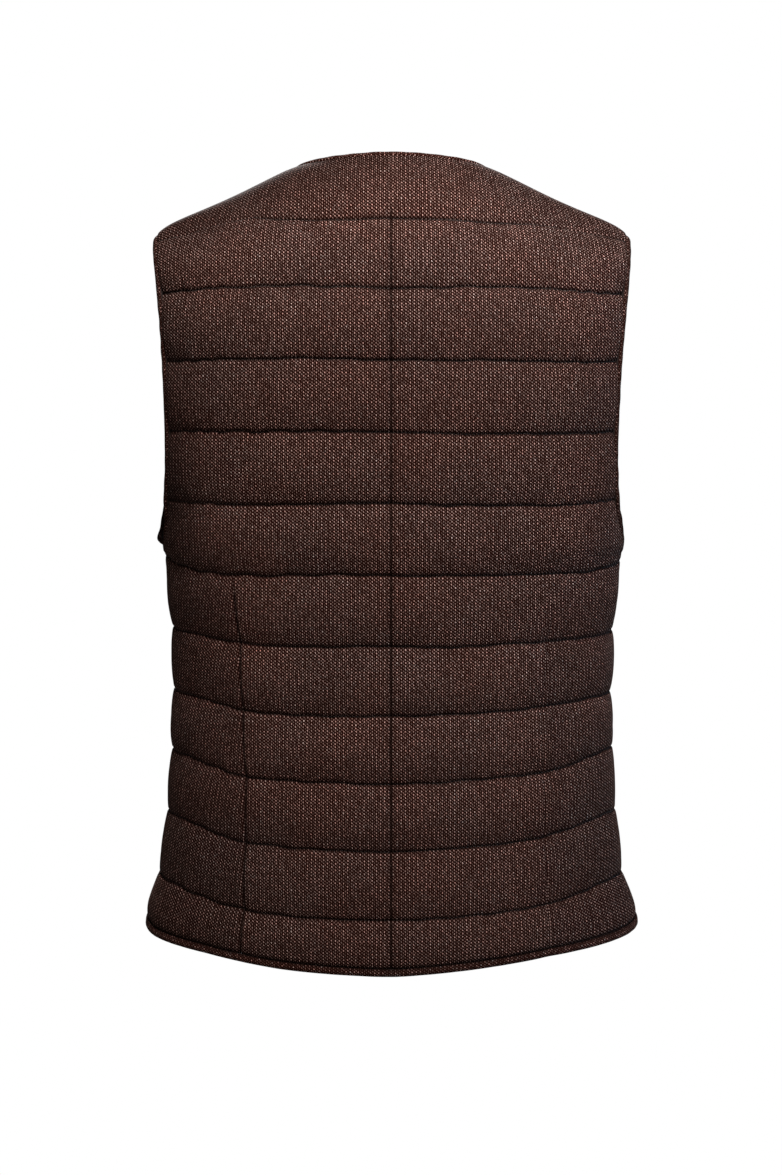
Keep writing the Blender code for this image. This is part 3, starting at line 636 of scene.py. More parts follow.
@dataclass
class MeshParts:
    """Vertices, faces and per-corner facts of one piece while it is being made."""

    points: np.ndarray
    faces: np.ndarray
    cloth: np.ndarray
    finish: np.ndarray
    bake: Optional[np.ndarray] = None
    # Painted shade of each point, from 0 to 1.
    crease: Optional[np.ndarray] = None

    def build(self, name: str, materials: Sequence[bpy.types.Material],
              sharp: float = 60.0) -> bpy.types.Object:
        """Make the object, with its faces pointing out.

        Args:
            name: the piece's name.
            materials: its finishes, in the order that `finish` counts them.
            sharp: degrees between faces that meet in a sharp edge.

        Returns:
            The new object, riding on the vest's one body.
        """
        quads = self.points[self.faces]
        centre = quads.mean(axis=1)
        across = np.cross(quads[:, 2] - quads[:, 0], quads[:, 3] - quads[:, 1])
        if (centre * across).sum() < 0:
            order = [0, 3, 2, 1]
            self.faces = self.faces[:, order]
            self.cloth = self.cloth[:, order]
            self.bake = None if self.bake is None else self.bake[:, order]
        mesh = bpy.data.meshes.new(name)
        mesh.vertices.add(len(self.points))
        mesh.vertices.foreach_set("co", self.points.astype(np.float32).ravel())
        mesh.loops.add(self.faces.size)
        mesh.loops.foreach_set("vertex_index", self.faces.astype(np.int32).ravel())
        mesh.polygons.add(len(self.faces))
        mesh.polygons.foreach_set("loop_start", np.arange(0, self.faces.size, 4, dtype=np.int32))
        mesh.polygons.foreach_set("material_index", self.finish.astype(np.int32))
        mesh.update(calc_edges=True)
        for label, values in ((CLOTH_MAP, self.cloth), (BAKE_MAP, self.bake)):
            if values is not None:
                layer = mesh.uv_layers.new(name=label, do_init=False)
                layer.uv.foreach_set("vector", values.astype(np.float32).ravel())
        mesh.uv_layers.active = mesh.uv_layers[CLOTH_MAP]
        if self.crease is not None:
            layer = mesh.attributes.new(PAINTED_SHADE, "FLOAT", "POINT")
            layer.data.foreach_set("value", self.crease.astype(np.float32).ravel())
        for material in materials:
            mesh.materials.append(material)
        mesh.shade_smooth()
        mesh.set_sharp_from_angle(angle=math.radians(sharp))
        mesh.validate()
        obj = bpy.data.objects.new(name, mesh)
        bpy.context.scene.collection.objects.link(obj)
        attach(obj, ROOT)
        return obj


def grid_faces(rows: int, columns: int, closed: bool = False) -> np.ndarray:
    """Quads of a net of points, row by row.

    Args:
        rows: how many rows of points.
        columns: how many points in a row.
        closed: whether each row's end joins its start.

    Returns:
        An array of faces with four vertex numbers each.
    """
    i, j = np.meshgrid(np.arange(rows - 1), np.arange(columns if closed else columns - 1),
                       indexing="ij")
    after = (j + 1) % columns
    faces = [i * columns + j, i * columns + after, (i + 1) * columns + after,
             (i + 1) * columns + j]
    return np.stack(faces, axis=-1).reshape(-1, 4)


def shell(outer: np.ndarray, inner: np.ndarray, cloth: np.ndarray, crease: np.ndarray,
          cut: int = 0, moved: Optional[np.ndarray] = None) -> MeshParts:
    """A closed wall between an outer and an inner net of points.

    Args:
        outer: points of the outer face, by row and column.
        inner: points of the inner face, in the same order.
        cloth: pattern places of the net, in metres.
        crease: painted shade, 1 in the bottom of a seam, falling to 0 beside it.
        cut: column from which the pattern is moved, where a dart is taken in.
        moved: how far each place is moved across beyond the cut.

    Returns:
        The closed piece. Finish 0 is its outer face and its edges, finish 1 its inner face.
    """
    rows, columns = outer.shape[:2]
    total = rows * columns
    face = grid_faces(rows, columns)
    border = np.concatenate([
        np.arange(columns),
        np.arange(1, rows) * columns + columns - 1,
        (rows - 1) * columns + np.arange(columns - 2, -1, -1),
        np.arange(rows - 2, 0, -1) * columns,
    ])
    after = np.roll(border, -1)
    edge = np.stack([after, border, total + border, total + after], axis=1)
    faces = np.concatenate([face, total + face[:, ::-1], edge])
    flat = np.concatenate([cloth.reshape(-1, 2)] * 2)[faces]
    if moved is not None:
        beyond = (faces % columns).min(axis=1) >= cut
        beyond &= (faces % columns).max(axis=1) > cut
        flat[beyond, :, 0] += np.concatenate([moved.ravel()] * 2)[faces[beyond]]
    finish = np.concatenate([np.zeros(len(face)), np.ones(len(face)), np.zeros(len(edge))])
    low, high = cloth.reshape(-1, 2).min(axis=0), cloth.reshape(-1, 2).max(axis=0)
    placed = (cloth.reshape(-1, 2) - low) / (high - low)
    margin, split, strip = 0.004, 0.585, 0.03
    bake_outer = placed * (split - 2 * margin, 1 - strip - 2 * margin) + margin
    bake_inner = placed * (1 - split - 2 * margin, 1 - strip - 2 * margin)
    bake_inner = bake_inner + (split + margin, margin)
    bake_face = bake_outer[face]
    bake_back = bake_inner[face[:, ::-1]]
    step = np.arange(len(border))
    left, right = step / len(border), (step + 1) / len(border)
    bottom, top = 1 - strip + margin, 1 - margin
    bake_edge = np.stack([
        np.stack([right, np.full_like(right, top)], axis=1),
        np.stack([left, np.full_like(left, top)], axis=1),
        np.stack([left, np.full_like(left, bottom)], axis=1),
        np.stack([right, np.full_like(right, bottom)], axis=1),
    ], axis=1)
    bake = np.concatenate([bake_face, bake_back, bake_edge])
    return MeshParts(
        points=np.concatenate([outer.reshape(-1, 3), inner.reshape(-1, 3)]),
        faces=faces,
        cloth=flat,
        finish=finish,
        bake=bake,
        crease=np.concatenate([crease.ravel(), np.zeros(total)]),
    )


def tube(rings: np.ndarray, cloth: np.ndarray, closed: bool,
         crease: Optional[np.ndarray] = None, back: Sequence[int] = ()) -> MeshParts:
    """A solid swept through rings of points.

    Args:
        rings: points by station and by place round the section.
        cloth: pattern places in metres, with one more column than the rings have.
        closed: whether the last station joins the first.
        crease: how much painted shade each point of the rings has.
        back: places round the section whose faces take finish 1.

    Returns:
        The closed piece. Open ends are closed with a fan of quads.
    """
    stations, size = rings.shape[:2]
    total = stations * size
    i, j = np.meshgrid(np.arange(stations if closed else stations - 1), np.arange(size),
                       indexing="ij")
    after, ahead = (j + 1) % size, (i + 1) % stations
    faces = np.stack([i * size + j, i * size + after, ahead * size + after, ahead * size + j],
                     axis=-1).reshape(-1, 4)
    rows = cloth
    if closed:
        rows = np.concatenate([cloth, cloth[-1:] + (cloth[-1:] - cloth[-2:-1])])
    corners = [(i, j), (i, j + 1), (i + 1, j + 1), (i + 1, j)]
    flat = np.stack([rows[a, b] for a, b in corners], axis=2).reshape(-1, 4, 2)
    if not closed:
        caps = []
        for first in (0, total - size):
            half = size // 2
            for k in range(half - 1):
                quad = [first + k, first + k + 1, first + size - 2 - k, first + size - 1 - k]
                caps.append(quad if first else quad[::-1])
        caps = np.array([quad for quad in caps if len(set(quad)) == 4])
        faces = np.concatenate([faces, caps])
        flat = np.concatenate([flat, np.zeros((len(caps), 4, 2)) + flat[0, 0]])
    finish = np.zeros(len(faces))
    finish[:j.size] = np.isin(j.ravel(), back)
    return MeshParts(points=rings.reshape(-1, 3), faces=faces, cloth=flat, finish=finish,
                     crease=crease)


# ---- Quilting ----


@dataclass(frozen=True)
class Quilting:
    """How the padding stands up between the sewn lines."""

    crest: float = 0.9 * MM
    depth: float = 3.4 * MM
    line_depth: float = 0.90 * MM
    line_width: float = 1.05 * MM
    roundness: float = 0.80
    edge_share: float = 0.42
    pinch_spacing: tuple[float, float] = (0.008, 0.024)
    pinch_depth: tuple[float, float] = (0.20 * MM, 0.85 * MM)
    pinch_width: tuple[float, float] = (0.0016, 0.0044)
    pinch_reach: tuple[float, float] = (0.005, 0.015)
    # The small folds: how they lean and widen, and what share of them sinks.
    pinch_lean: float = 0.22
    pinch_spread: float = 0.9
    # Share by which a fold is flatter at the sewn line, and how far that reaches.
    pinch_root: tuple[float, float] = (0.35, 0.0016)
    sunk_share: float = 0.72
    raised_depth: float = -0.6
    swell: float = 0.45 * MM
    # Power that moves a puff's crest within its row.
    crest_place: float = 0.93
    # Height of a row whose puff has its whole depth, and how the depth falls in lower ones.
    full_row: float = 0.050
    row_power: float = 0.6
    # Where in a row the depth of its lower line gives way to that of its upper line.
    edge_turn: tuple[float, float] = (0.3, 0.7)

    def puff(self, below: np.ndarray, above: np.ndarray, full: np.ndarray,
             sewn: tuple[bool, bool]) -> np.ndarray:
        """Height over the smooth form, between the sewn lines below and above.

        Args:
            below: distance over the cloth to the line below.
            above: distance over the cloth to the line above.
            full: how full each place's puff is, against an even one.
            sewn: whether the row ends in a quilt seam below, and above.

        Returns:
            Heights in metres.
        """
        whole = np.maximum(below + above, TINY)
        share = np.clip(below / whole, 0.0, 1.0) ** self.crest_place
        rise = np.clip(4 * share * (1 - share), 0.0, 1.0) ** self.roundness
        low, high = [1.0 if end else self.edge_share for end in sewn]
        size = self.depth * full * np.clip(whole / self.full_row, 0.0, 1.0) ** self.row_power
        size = size * (low + (high - low) * smoothstep(*self.edge_turn, share))
        near = np.minimum(below if sewn[0] else 1.0, above if sewn[1] else 1.0)
        return self.crest - size * (1 - rise) - self.line_depth * bell(near, self.line_width)

    def pinches(self, rng: np.random.Generator, lengths: np.ndarray,
                distance: np.ndarray) -> np.ndarray:
        """Small folds that run out from one sewn line to one side of it.

        Args:
            rng: the piece's own random numbers.
            lengths: length along the line at each place.
            distance: distance over the cloth from the line.

        Returns:
            Heights in metres, mostly below 0.
        """
        made = np.zeros_like(distance)
        at = rng.uniform(0.0, self.pinch_spacing[1])
        end = float(lengths.max())
        while at < end:
            depth = rng.uniform(*self.pinch_depth)
            depth *= 1 if rng.random() < self.sunk_share else self.raised_depth
            width = rng.uniform(*self.pinch_width)
            reach = rng.uniform(*self.pinch_reach)
            lean = rng.normal(0.0, self.pinch_lean)
            wide = width * (1 + self.pinch_spread * distance / reach)
            root, root_reach = self.pinch_root
            fall = np.exp(-distance / reach) * (1 - root * bell(distance, root_reach))
            made -= depth * bell(lengths - at - lean * distance, wide) * fall
            at += rng.uniform(*self.pinch_spacing)
        return made


# How far the hem and then each sewn line lies above its even place, in millimetres. Nine
# stations: five evenly spaced from the centre to the dart, and four more on to the side.
LINE_STATIONS = np.linspace(0.0, 2.0, 9)
LINES = {
    Half.LEFT: (
        (-0.2, 0.5, 1.0, 1.8, 3.4, 4.7, 3.6, 1.5, 1.0),
        (-0.2, -0.5, -0.1, 0.3, 1.3, 4.8, 8.6, 9.2, 7.7),
        (-1.7, -1.5, -0.7, -0.6, 0.1, 4.5, 9.1, 9.8, 8.2),
        (-3.4, -2.9, -2.8, -2.7, -2.4, 2.6, 7.0, 7.2, 6.1),
        (-4.4, -4.7, -5.1, -4.9, -4.3, 0.6, 3.6, 3.5, 3.0),
        (-4.2, -4.4, -5.1, -5.1, -4.6, -1.6, 0.2, 0.0, -0.1),
        (-2.4, -2.0, -2.6, -3.6, -3.7, -3.0, 0.3, 3.7, 3.8),
        (-0.5, -0.7, -1.6, -2.6, -2.2, -1.8, -1.7, -1.4, -1.1),
        (-0.8, -0.4, 0.0, -0.4, -0.7, -0.6, -0.3, -0.5, -0.7),
        (-0.8, -0.1, 0.6, 0.4, 0.1, -0.2, -0.5, -0.5, -0.2),
        (-0.7, 0.9, 2.4, 2.6, 2.8, 2.4, 1.7, 1.0, 0.1),
        (3.0, 2.8, 4.5, 7.5, 9.8, 7.4, 4.9, 2.5, 0.0),
    ),
    Half.RIGHT: (
        (-0.2, 1.5, 3.3, 5.1, 6.8, 6.6, 5.6, 3.5, 1.8),
        (-0.2, 0.4, 1.5, 2.8, 4.6, 8.0, 11.2, 10.6, 7.9),
        (-1.7, -0.4, 0.8, 2.0, 3.4, 7.8, 11.1, 10.9, 8.3),
        (-3.4, -2.5, -1.3, -0.1, 0.6, 3.9, 8.1, 9.2, 7.4),
        (-4.4, -4.5, -3.5, -2.3, -1.5, 0.4, 1.0, 0.2, 0.4),
        (-4.2, -4.8, -4.9, -3.5, -3.4, -3.2, -3.1, -3.6, -2.5),
        (-2.4, -2.9, -3.1, -3.1, -3.8, -3.5, -1.7, 0.6, 1.6),
        (-0.5, -1.9, -2.7, -3.0, -3.6, -3.0, -2.0, -1.3, -0.7),
        (-0.8, -1.5, -2.0, -2.3, -2.3, -2.3, -2.3, -1.9, -1.3),
        (-0.8, -1.1, -1.1, -1.4, -1.7, -1.9, -1.8, -1.3, -0.4),
        (-0.7, 0.1, 1.5, 1.6, 1.2, 0.2, -0.4, -0.6, -0.4),
        (3.0, 3.1, 2.7, 3.6, 4.7, 3.5, 2.4, 1.2, 0.0),
    ),
}


def line_shift(values: np.ndarray, station: np.ndarray) -> np.ndarray:
    """Read one row of LINES, with a kink at the dart.

    Args:
        values: the row's nine values.
        station: where to read: 0 at the centre, 1 at the dart, 2 at the side.

    Returns:
        The values there.
    """
    inner = smooth_column(LINE_STATIONS[:5], values[:5], station)
    outer = smooth_column(LINE_STATIONS[4:], values[4:], station)
    return np.where(station < 1.0, inner, outer)


@dataclass
class Panel:
    """A padded panel of one side and half, with its quilt lines, darts and seams."""

    name: str
    pattern: Pattern
    side: Side
    half: Half
    quilting: Quilting
    seed: int
    dart_depth: float = 0.0
    grain_tilt: float = 0.0
    grain_start: float = 0.320
    seam_dip: float = 1.5 * MM
    # The section of a sunk line: share and width of its groove, share and reach of its trough.
    seam_section: tuple[float, ...] = (0.7, 1.3 * MM, 0.3, 0.005)
    dart_section: tuple[float, ...] = (0.65, 1.2 * MM, 0.35, 0.006)
    # Widths of the painted shade in the sewn lines and in the upright seams, and how strong it is in
    # the upright ones.
    sewn_line_shade_width: float = 1.15 * MM
    upright_shade_width: float = 1.5 * MM
    upright_shade_gain: float = 1.15
    full_dart: float = 1.6 * MM
    dart_fade: float = 0.02
    # The centre seam fades at the neck: share lost, and rows above the top quilt seam.
    neck_seam_fade: tuple[float, ...] = (0.93, 0.002, 0.016)
    # It is shallower above the waist: least share, what it gains lower down, and those rows.
    waist_seam_fade: tuple[float, ...] = (0.70, 0.30, 0.42, 0.12)
    # The side seam is shallower by the armhole: share lost, and those rows.
    side_seam_fade: tuple[float, ...] = (0.45, 0.31, 0.34)
    neck_softness: float = 0.12
    # The dip and the painted shade at the panel's top edge and at its hem: share, and widths at both.
    end_dip: float = 0.8
    end_dip_widths: tuple[float, float] = (1.4 * MM, 1.6 * MM)
    end_shade_widths: tuple[float, float] = (0.8 * MM, 1.7 * MM)
    waviness: float = 0.10
    row_variation: float = 0.05
    wobble: float = 0.30 * MM
    wobble_waves: tuple[float, float] = (60.0, 260.0)
    wobble_fade: float = 0.02
    # Painted shade on the cloth beyond the dart, by half, and where it starts past the dart.
    beyond_dart_painted_shade: dict[Half, float] = field(
        default_factory=lambda: {Half.LEFT: 0.30, Half.RIGHT: 0.24})
    drape_edge: tuple[float, float] = (-0.002, 0.004)
    # Painted shade over each row's lower half, from the hem up, and the part of a row that it covers.
    lower_half_painted_shade: tuple[float, ...] = (0.10, 0.16, 0.30, 0.34, 0.30, 0.10, 0.06, 0.0)
    lower_half_shade_span: tuple[float, float] = (0.60, 0.05)
    # Painted shade on the back beside the underarms: strength by half, height and reach, and
    # distances across where it grows.
    underarm_painted_shade: dict[Half, float] = field(
        default_factory=lambda: {Half.LEFT: 0.60, Half.RIGHT: 0.30})
    underarm_level: float = -0.235
    underarm_height: float = 0.070
    underarm_across: tuple[float, float] = (0.140, 0.184)
    thinnest: float = 1.0 * MM
    # Share of the outer face's dips that the inner face follows.
    inner_follow: float = 0.28
    flare_reach: float = 0.010
    # The top quilt seam fades towards the armhole: share lost, where, how near, relief kept.
    top_fade: float = 0.80
    top_fade_span: tuple[float, float] = (0.42, 0.72)
    top_fade_reach: float = 0.014
    faded_relief: tuple[float, float] = (0.45, 0.55)
    # Painted shade on cloth that faces up, such as the shoulders: how far up it faces, and strength
    # by half.
    ridge_facing: tuple[float, float] = (0.40, 0.90)
    ridge_painted_shade: dict[Half, float] = field(
        default_factory=lambda: {Half.LEFT: 0.62, Half.RIGHT: 0.42})
    columns: tuple[int, ...] = (46, 14, 60)
    front_columns: int = 96
    row_shares: np.ndarray = field(default_factory=lambda: eased(26, 0.22, 0.22))
    hem_shares: np.ndarray = field(default_factory=lambda: eased(18, 0.3, 0.25))
    top_shares: np.ndarray = field(default_factory=lambda: eased(34, 0.2, 0.25))
    base_rows: int = 480

    def __post_init__(self) -> None:
        """Lay out rows and columns."""
        form = self.pattern.form
        self.sheet = self.pattern.sheets[self.side]
        self.armhole = self.pattern.armholes[self.side]
        self.top = form.seam_up(form.seams - 1)
        self.end = self.top + form.nape_up
        self.rows = self._rows()
        self.corner_share = self._corner_share()
        self.across_shares = self._across_shares()
        self.base = np.linspace(form.welt, self.end, self.base_rows)
        self.base_across, self.base_level = self._base_tables()
        self.across, self.level = self._mesh_places()

    # layout

    def _rows(self) -> np.ndarray:
        """The mesh rows as levels at the centre line, and the rows that are sewn."""
        form = self.pattern.form
        rows = [form.welt + (form.hem_row - form.welt) * self.hem_shares]
        for number in range(form.seams - 1):
            rows.append(form.seam_up(number) + form.pitch * self.row_shares[1:])
        rows.append(self.top + form.nape_up * self.top_shares[1:])
        starts = np.cumsum([len(part) for part in rows])
        self.sewn = [int(start) - 1 for start in starts[:-1]]
        return np.concatenate(rows)

    def _across_shares(self) -> list[np.ndarray]:
        """Shares of the columns between the panel's upright stops."""
        if self.side is Side.FRONT:
            return [eased(self.front_columns, 0.3, 0.3)]
        first, second, third = self.columns
        return [eased(first, 0.3, 1.0), eased(second, 1.0, 0.3), eased(third, 0.25, 0.3)]

    def _corner_share(self) -> float:
        """Where the underarm corner lies in its quilt row, on one of the mesh rows."""
        form = self.pattern.form
        low = form.seam_up(form.underarm_row - 1)
        first = self.armhole.inner[0][1] - low
        rest = self.armhole.length_at_level(form.seam_up(form.underarm_row))
        self.corner_run = (first, rest)
        wanted = first / (first + rest)
        return float(self.row_shares[np.argmin(np.abs(self.row_shares - wanted))])

    def side_place(self, row: float) -> tuple[float, float]:
        """Pattern place of the panel's outer side at a row: the side seam, then the armhole.

        Args:
            row: length over the cloth at the centre line.

        Returns:
            Length across and level.
        """
        form, armhole = self.pattern.form, self.armhole
        low, high = form.seam_up(form.underarm_row - 1), form.seam_up(form.underarm_row)
        if row <= low:
            level = row + form.hem_rise * max(0.0, 1 - (row - form.welt)
                                              / (form.hem_row - form.welt))
            return float(self.sheet.side_length(level)), level
        if row <= high:
            share = (row - low) / form.pitch
            if share <= self.corner_share:
                level = low + self.corner_run[0] * share / self.corner_share
                return float(self.sheet.side_length(level)), level
            share = (share - self.corner_share) / (1 - self.corner_share)
            inner = armhole.places(share * self.corner_run[1])[0]
        elif row <= self.top:
            inner = armhole.places(armhole.length_at_level(row))[0]
        else:
            start = armhole.length_at_level(self.top)
            share = (row - self.top) / (self.end - self.top)
            inner = armhole.places(start + (armhole.length[-1] - start) * share)[0]
        return min(inner[0], float(self.sheet.side_length(inner[1]))), float(inner[1])

    def inner_place(self, row: float) -> tuple[float, float]:
        """Pattern place of a front panel's front edge at a row.

        Args:
            row: length over the cloth at the centre line.

        Returns:
            Length across and level.
        """
        edge = self.pattern.front_edge
        if row <= self.top:
            return tuple(edge.places(edge.length_at_level(row))[0])
        start = edge.length_at_level(self.top)
        share = (row - self.top) / (self.end - self.top)
        return tuple(edge.places(start + (edge.length[-1] - start) * share)[0])

    def _dart(self, row: float) -> float:
        """Length across to the dart at a row."""
        form = self.pattern.form
        table = np.array(form.darts)
        height = min(self.sheet.height_at(row), form.arch_height)
        column = 2 if self.half is Half.RIGHT else 1
        distance = smooth_column(table[:, 0], table[:, column], np.array(height))
        return float(self.sheet.across_of(float(distance), row))

    def _ring(self, row: float) -> np.ndarray:
        """Pattern places along one row under the highest quilt seam."""
        side = self.side_place(row)
        if self.side is Side.BACK:
            neck_end = self.pattern.neck.inner[-1][0]
            stops = (0.0, neck_end * self.pattern.form.neck_fan, self._dart(row), side[0])
        else:
            stops = (self.inner_place(row)[0], side[0])
        across = spread(stops, self.across_shares)
        share = (across - across[0]) / (across[-1] - across[0])
        power = 2 if row < self.pattern.form.hem_row else 4
        return np.stack([across, row + (side[1] - row) * share ** power], axis=1)

    def _top_line(self, below: np.ndarray) -> np.ndarray:
        """Pattern places of the panel's top: the back's neck line, and the shoulder seam."""
        side = self.side_place(self.end)
        if self.side is Side.FRONT:
            return self.sheet.seam_place(spread((self.inner_place(self.end)[0], side[0]),
                                                self.across_shares))
        neck = self.pattern.neck
        first = neck.places(neck.length[-1] * self.across_shares[0])[0]
        first[0, 0] = 0.0
        dart = below[sum(self.columns[:2]), 0]
        rest = spread((neck.inner[-1][0], dart, side[0]), self.across_shares[1:])
        return np.concatenate([first, self.sheet.seam_place(rest[1:])])

    def _base_tables(self) -> tuple[np.ndarray, np.ndarray]:
        """Pattern places of every column on even rows, which the mesh rows are read from."""
        below = self._ring(self.top)
        top = self._top_line(below)
        places = []
        for row in self.base:
            if row <= self.top:
                places.append(self._ring(row))
                continue
            share = (row - self.top) / (self.end - self.top)
            ring = below + (top - below) * share
            along = (ring[:, 0] - ring[0, 0]) / (ring[-1, 0] - ring[0, 0])
            pull = np.clip((along - 0.88) / 0.12, 0.0, 1.0)[:, None] ** 2
            ring = ring + pull * (np.array(self.side_place(row)) - ring[-1])
            if self.side is Side.FRONT:
                pull = np.clip((0.3 - along) / 0.3, 0.0, 1.0)[:, None] ** 1.5
                ring = ring + pull * (np.array(self.inner_place(row)) - ring[0])
            places.append(ring)
        table = np.array(places)
        return table[..., 0], table[..., 1]

    def _line_shift(self) -> np.ndarray:
        """How far each mesh vertex is moved up so that the sewn lines lie as they do."""
        marks = [0] + self.sewn + [len(self.rows) - 1]
        shifts = []
        for values, mark in zip(np.array(LINES[self.half]) * MM, marks):
            index = int(np.argmin(np.abs(self.base - self.rows[mark])))
            ring = self.base_across[index]
            if self.side is Side.BACK:
                dart = ring[sum(self.columns[:2])]
                station = np.where(ring < dart, ring / dart,
                                   1 + (ring - dart) / (ring[-1] - dart))
                shifts.append(line_shift(values, station))
            else:
                share = (ring - ring[0]) / (ring[-1] - ring[0])
                shifts.append(values[-1] * smoothstep(0.30, 1.0, share))
        shifts.append(np.zeros_like(shifts[0]))
        rng = np.random.default_rng(self.seed + 500)
        ring = self.base_across[0]
        ends = (smoothstep(0.0, self.wobble_fade, ring - ring[0])
                * smoothstep(0.0, self.wobble_fade, ring[-1] - ring))
        for shift in shifts[1:-1]:
            shift += self.wobble * ends * sum(
                rng.uniform(0.4, 1.0) * np.sin(ring * rng.uniform(*self.wobble_waves)
                                               + rng.uniform(*WAVE_START))
                for _ in range(4))
        made = np.empty((len(self.rows), len(shifts[0])))
        for index in range(len(marks) - 1):
            low, high = marks[index], marks[index + 1]
            rows = self.rows[low:high + 1]
            t = ((rows - rows[0]) / (rows[-1] - rows[0]))[:, None]
            made[low:high + 1] = shifts[index] * (1 - t) + shifts[index + 1] * t
        return made

    def _mesh_places(self) -> tuple[np.ndarray, np.ndarray]:
        """Pattern places of the mesh vertices."""
        rows = self.rows[:, None] + self._line_shift()
        step = self.base[1] - self.base[0]
        at = np.clip((rows - self.base[0]) / step, -4.0, len(self.base) - 1.0)
        low = np.clip(np.floor(at).astype(int), 0, len(self.base) - 2)
        share = at - low
        columns = np.arange(rows.shape[1])[None, :]
        across, level = [table[low, columns] * (1 - share) + table[low + 1, columns] * share
                         for table in (self.base_across, self.base_level)]
        return across, level

    # form

    def smooth(self) -> tuple[np.ndarray, np.ndarray]:
        """Points and outward normals of the smooth form, on the left half."""
        points, normals = self.sheet.at(self.across, self.level)
        if self.side is Side.FRONT and self.half is Half.RIGHT:
            lap = self.pattern.form.lap_depth(points * (-1, 1, 1))
            points = points - normals * lap[..., None]
        return points, normals

    def relief(self, points: np.ndarray) -> tuple[np.ndarray, np.ndarray]:
        """Height of the quilted outer face over the smooth form, and its painted shade.

        Args:
            points: the smooth form's points.

        Returns:
            Heights in metres, and the painted shade: 1 in the bottom of a seam.
        """
        form, quilting = self.pattern.form, self.quilting
        rng = np.random.default_rng(self.seed)
        up = run_lengths(points, 0)
        out = run_lengths(points, 1)
        width = out[:, -1:]
        marks = [0] + self.sewn + [len(self.rows) - 1]
        high = np.empty_like(up)
        crease = np.zeros_like(up)
        ring_share = out / np.maximum(width, TINY)
        for index in range(len(marks) - 1):
            low, top = marks[index], marks[index + 1]
            part = slice(low, top + 1)
            below, above = up[part] - up[low], up[top] - up[part]
            waves = sum(
                rng.uniform(0.3, 1.0) * np.sin(ring_share[part] * rng.uniform(3, 14)
                                               + rng.uniform(*WAVE_START))
                for _ in range(3)
            )
            full = 1 + self.waviness * waves + rng.uniform(-self.row_variation, self.row_variation)
            sewn = (low in self.sewn, top in self.sewn)
            puff = quilting.puff(below, above, full, sewn)
            puff += quilting.swell * 0.5 * waves * np.sin(math.pi * np.clip(
                below / np.maximum(below + above, TINY), 0, 1)) ** 2
            for distance, line in ((below, low), (above, top)):
                if line in self.sewn:
                    puff += quilting.pinches(rng, out[part], distance)
            high[part] = puff
            # Painted shade in the sewn lines; in the top rows it and the relief fade towards the
            # armhole.
            near = np.full_like(below, 1.0)
            if low in self.sewn:
                near = np.minimum(near, below)
            if top in self.sewn:
                near = np.minimum(near, above)
            mark = bell(near, self.sewn_line_shade_width)
            if index >= len(marks) - 3:
                ends = above if index == len(marks) - 3 else below
                fade = 1 - self.top_fade * smoothstep(*self.top_fade_span, ring_share[part])
                fade = 1 + (fade - 1) * (ends < self.top_fade_reach)
                mark = mark * fade
                least, rest = self.faded_relief
                high[part] = quilting.crest + (high[part] - quilting.crest) * (least + rest * fade)
            # Painted shade over the lower half of each row.
            shade = self.lower_half_painted_shade[min(index, len(self.lower_half_painted_shade) - 1)]
            share = below / np.maximum(below + above, TINY)
            mark = np.maximum(mark, shade * smoothstep(*self.lower_half_shade_span, share))
            crease[part] = np.maximum(crease[part], mark)
        high, crease = self._add_uprights(high, crease, points, out, width, up)
        return high, crease

    def _add_uprights(self, high: np.ndarray, crease: np.ndarray, points: np.ndarray,
                      out: np.ndarray, width: np.ndarray,
                      up: np.ndarray) -> tuple[np.ndarray, np.ndarray]:
        """Sink the face along the centre seam, the dart, the sides and the welt seams.

        Paint shade in these grooves, and over the cloth beyond the dart.

        Args:
            high: heights over the smooth form.
            crease: the painted shade so far.
            points: the smooth form's points.
            out: lengths across from the first column.
            width: each row's whole length.
            up: lengths up from the first row.

        Returns:
            The new heights and painted shade.
        """
        form = self.pattern.form
        rows = self.rows[:, None]
        start = np.full_like(high, self.seam_dip)
        if self.side is Side.BACK:
            lost, low, top = self.neck_seam_fade
            start = start * (1 - lost * smoothstep(self.top + low, self.top + top, rows))
            least, rest, low, top = self.waist_seam_fade
            start = start * (least + rest * smoothstep(low, top, rows))
        side_dip = np.full_like(high, self.seam_dip)
        lost, low, top = self.side_seam_fade
        side_dip = side_dip * (1 - lost * smoothstep(low, top, rows))
        # Sink the centre seam and the side seam, and paint shade in them.
        for dip, distance in ((start, out), (side_dip, width - out)):
            high = high - dip * sunk_line(distance, self.seam_section)
            strength = dip / self.seam_dip
            crease = np.maximum(crease, np.minimum(1.0, self.upright_shade_gain * strength)
                                * bell(distance, self.upright_shade_width))
        # The dart: sunk, with painted shade in it, and painted shade over the cloth beyond it.
        if self.side is Side.BACK:
            column = sum(self.columns[:2])
            reach = np.abs(out - out[:, column:column + 1])
            shown = smoothstep(form.dart_top, form.dart_top - self.dart_fade, points[..., 2])
            high = high - self.dart_depth * sunk_line(reach, self.dart_section) * shown
            crease = np.maximum(crease, min(1.0, self.dart_depth / self.full_dart)
                                * bell(reach, self.upright_shade_width) * shown)
            beyond = smoothstep(*self.drape_edge, out - out[:, column:column + 1])
            crease = np.maximum(crease, self.beyond_dart_painted_shade[self.half] * beyond * shown)
        # Sink the top and the hem edges, and paint shade along them.
        top = up[-1:] - up
        soft = np.ones_like(high)
        if self.side is Side.BACK:
            soft[:, :self.columns[0] + 1] = self.neck_softness
        top_width, hem_width = self.end_dip_widths
        high = high - self.seam_dip * self.end_dip * soft * bell(top, top_width)
        high = high - self.seam_dip * self.end_dip * bell(up, hem_width)
        top_width, hem_width = self.end_shade_widths
        crease = np.maximum(crease, np.maximum(soft * bell(top, top_width),
                                               bell(up, hem_width)))
        return high, crease

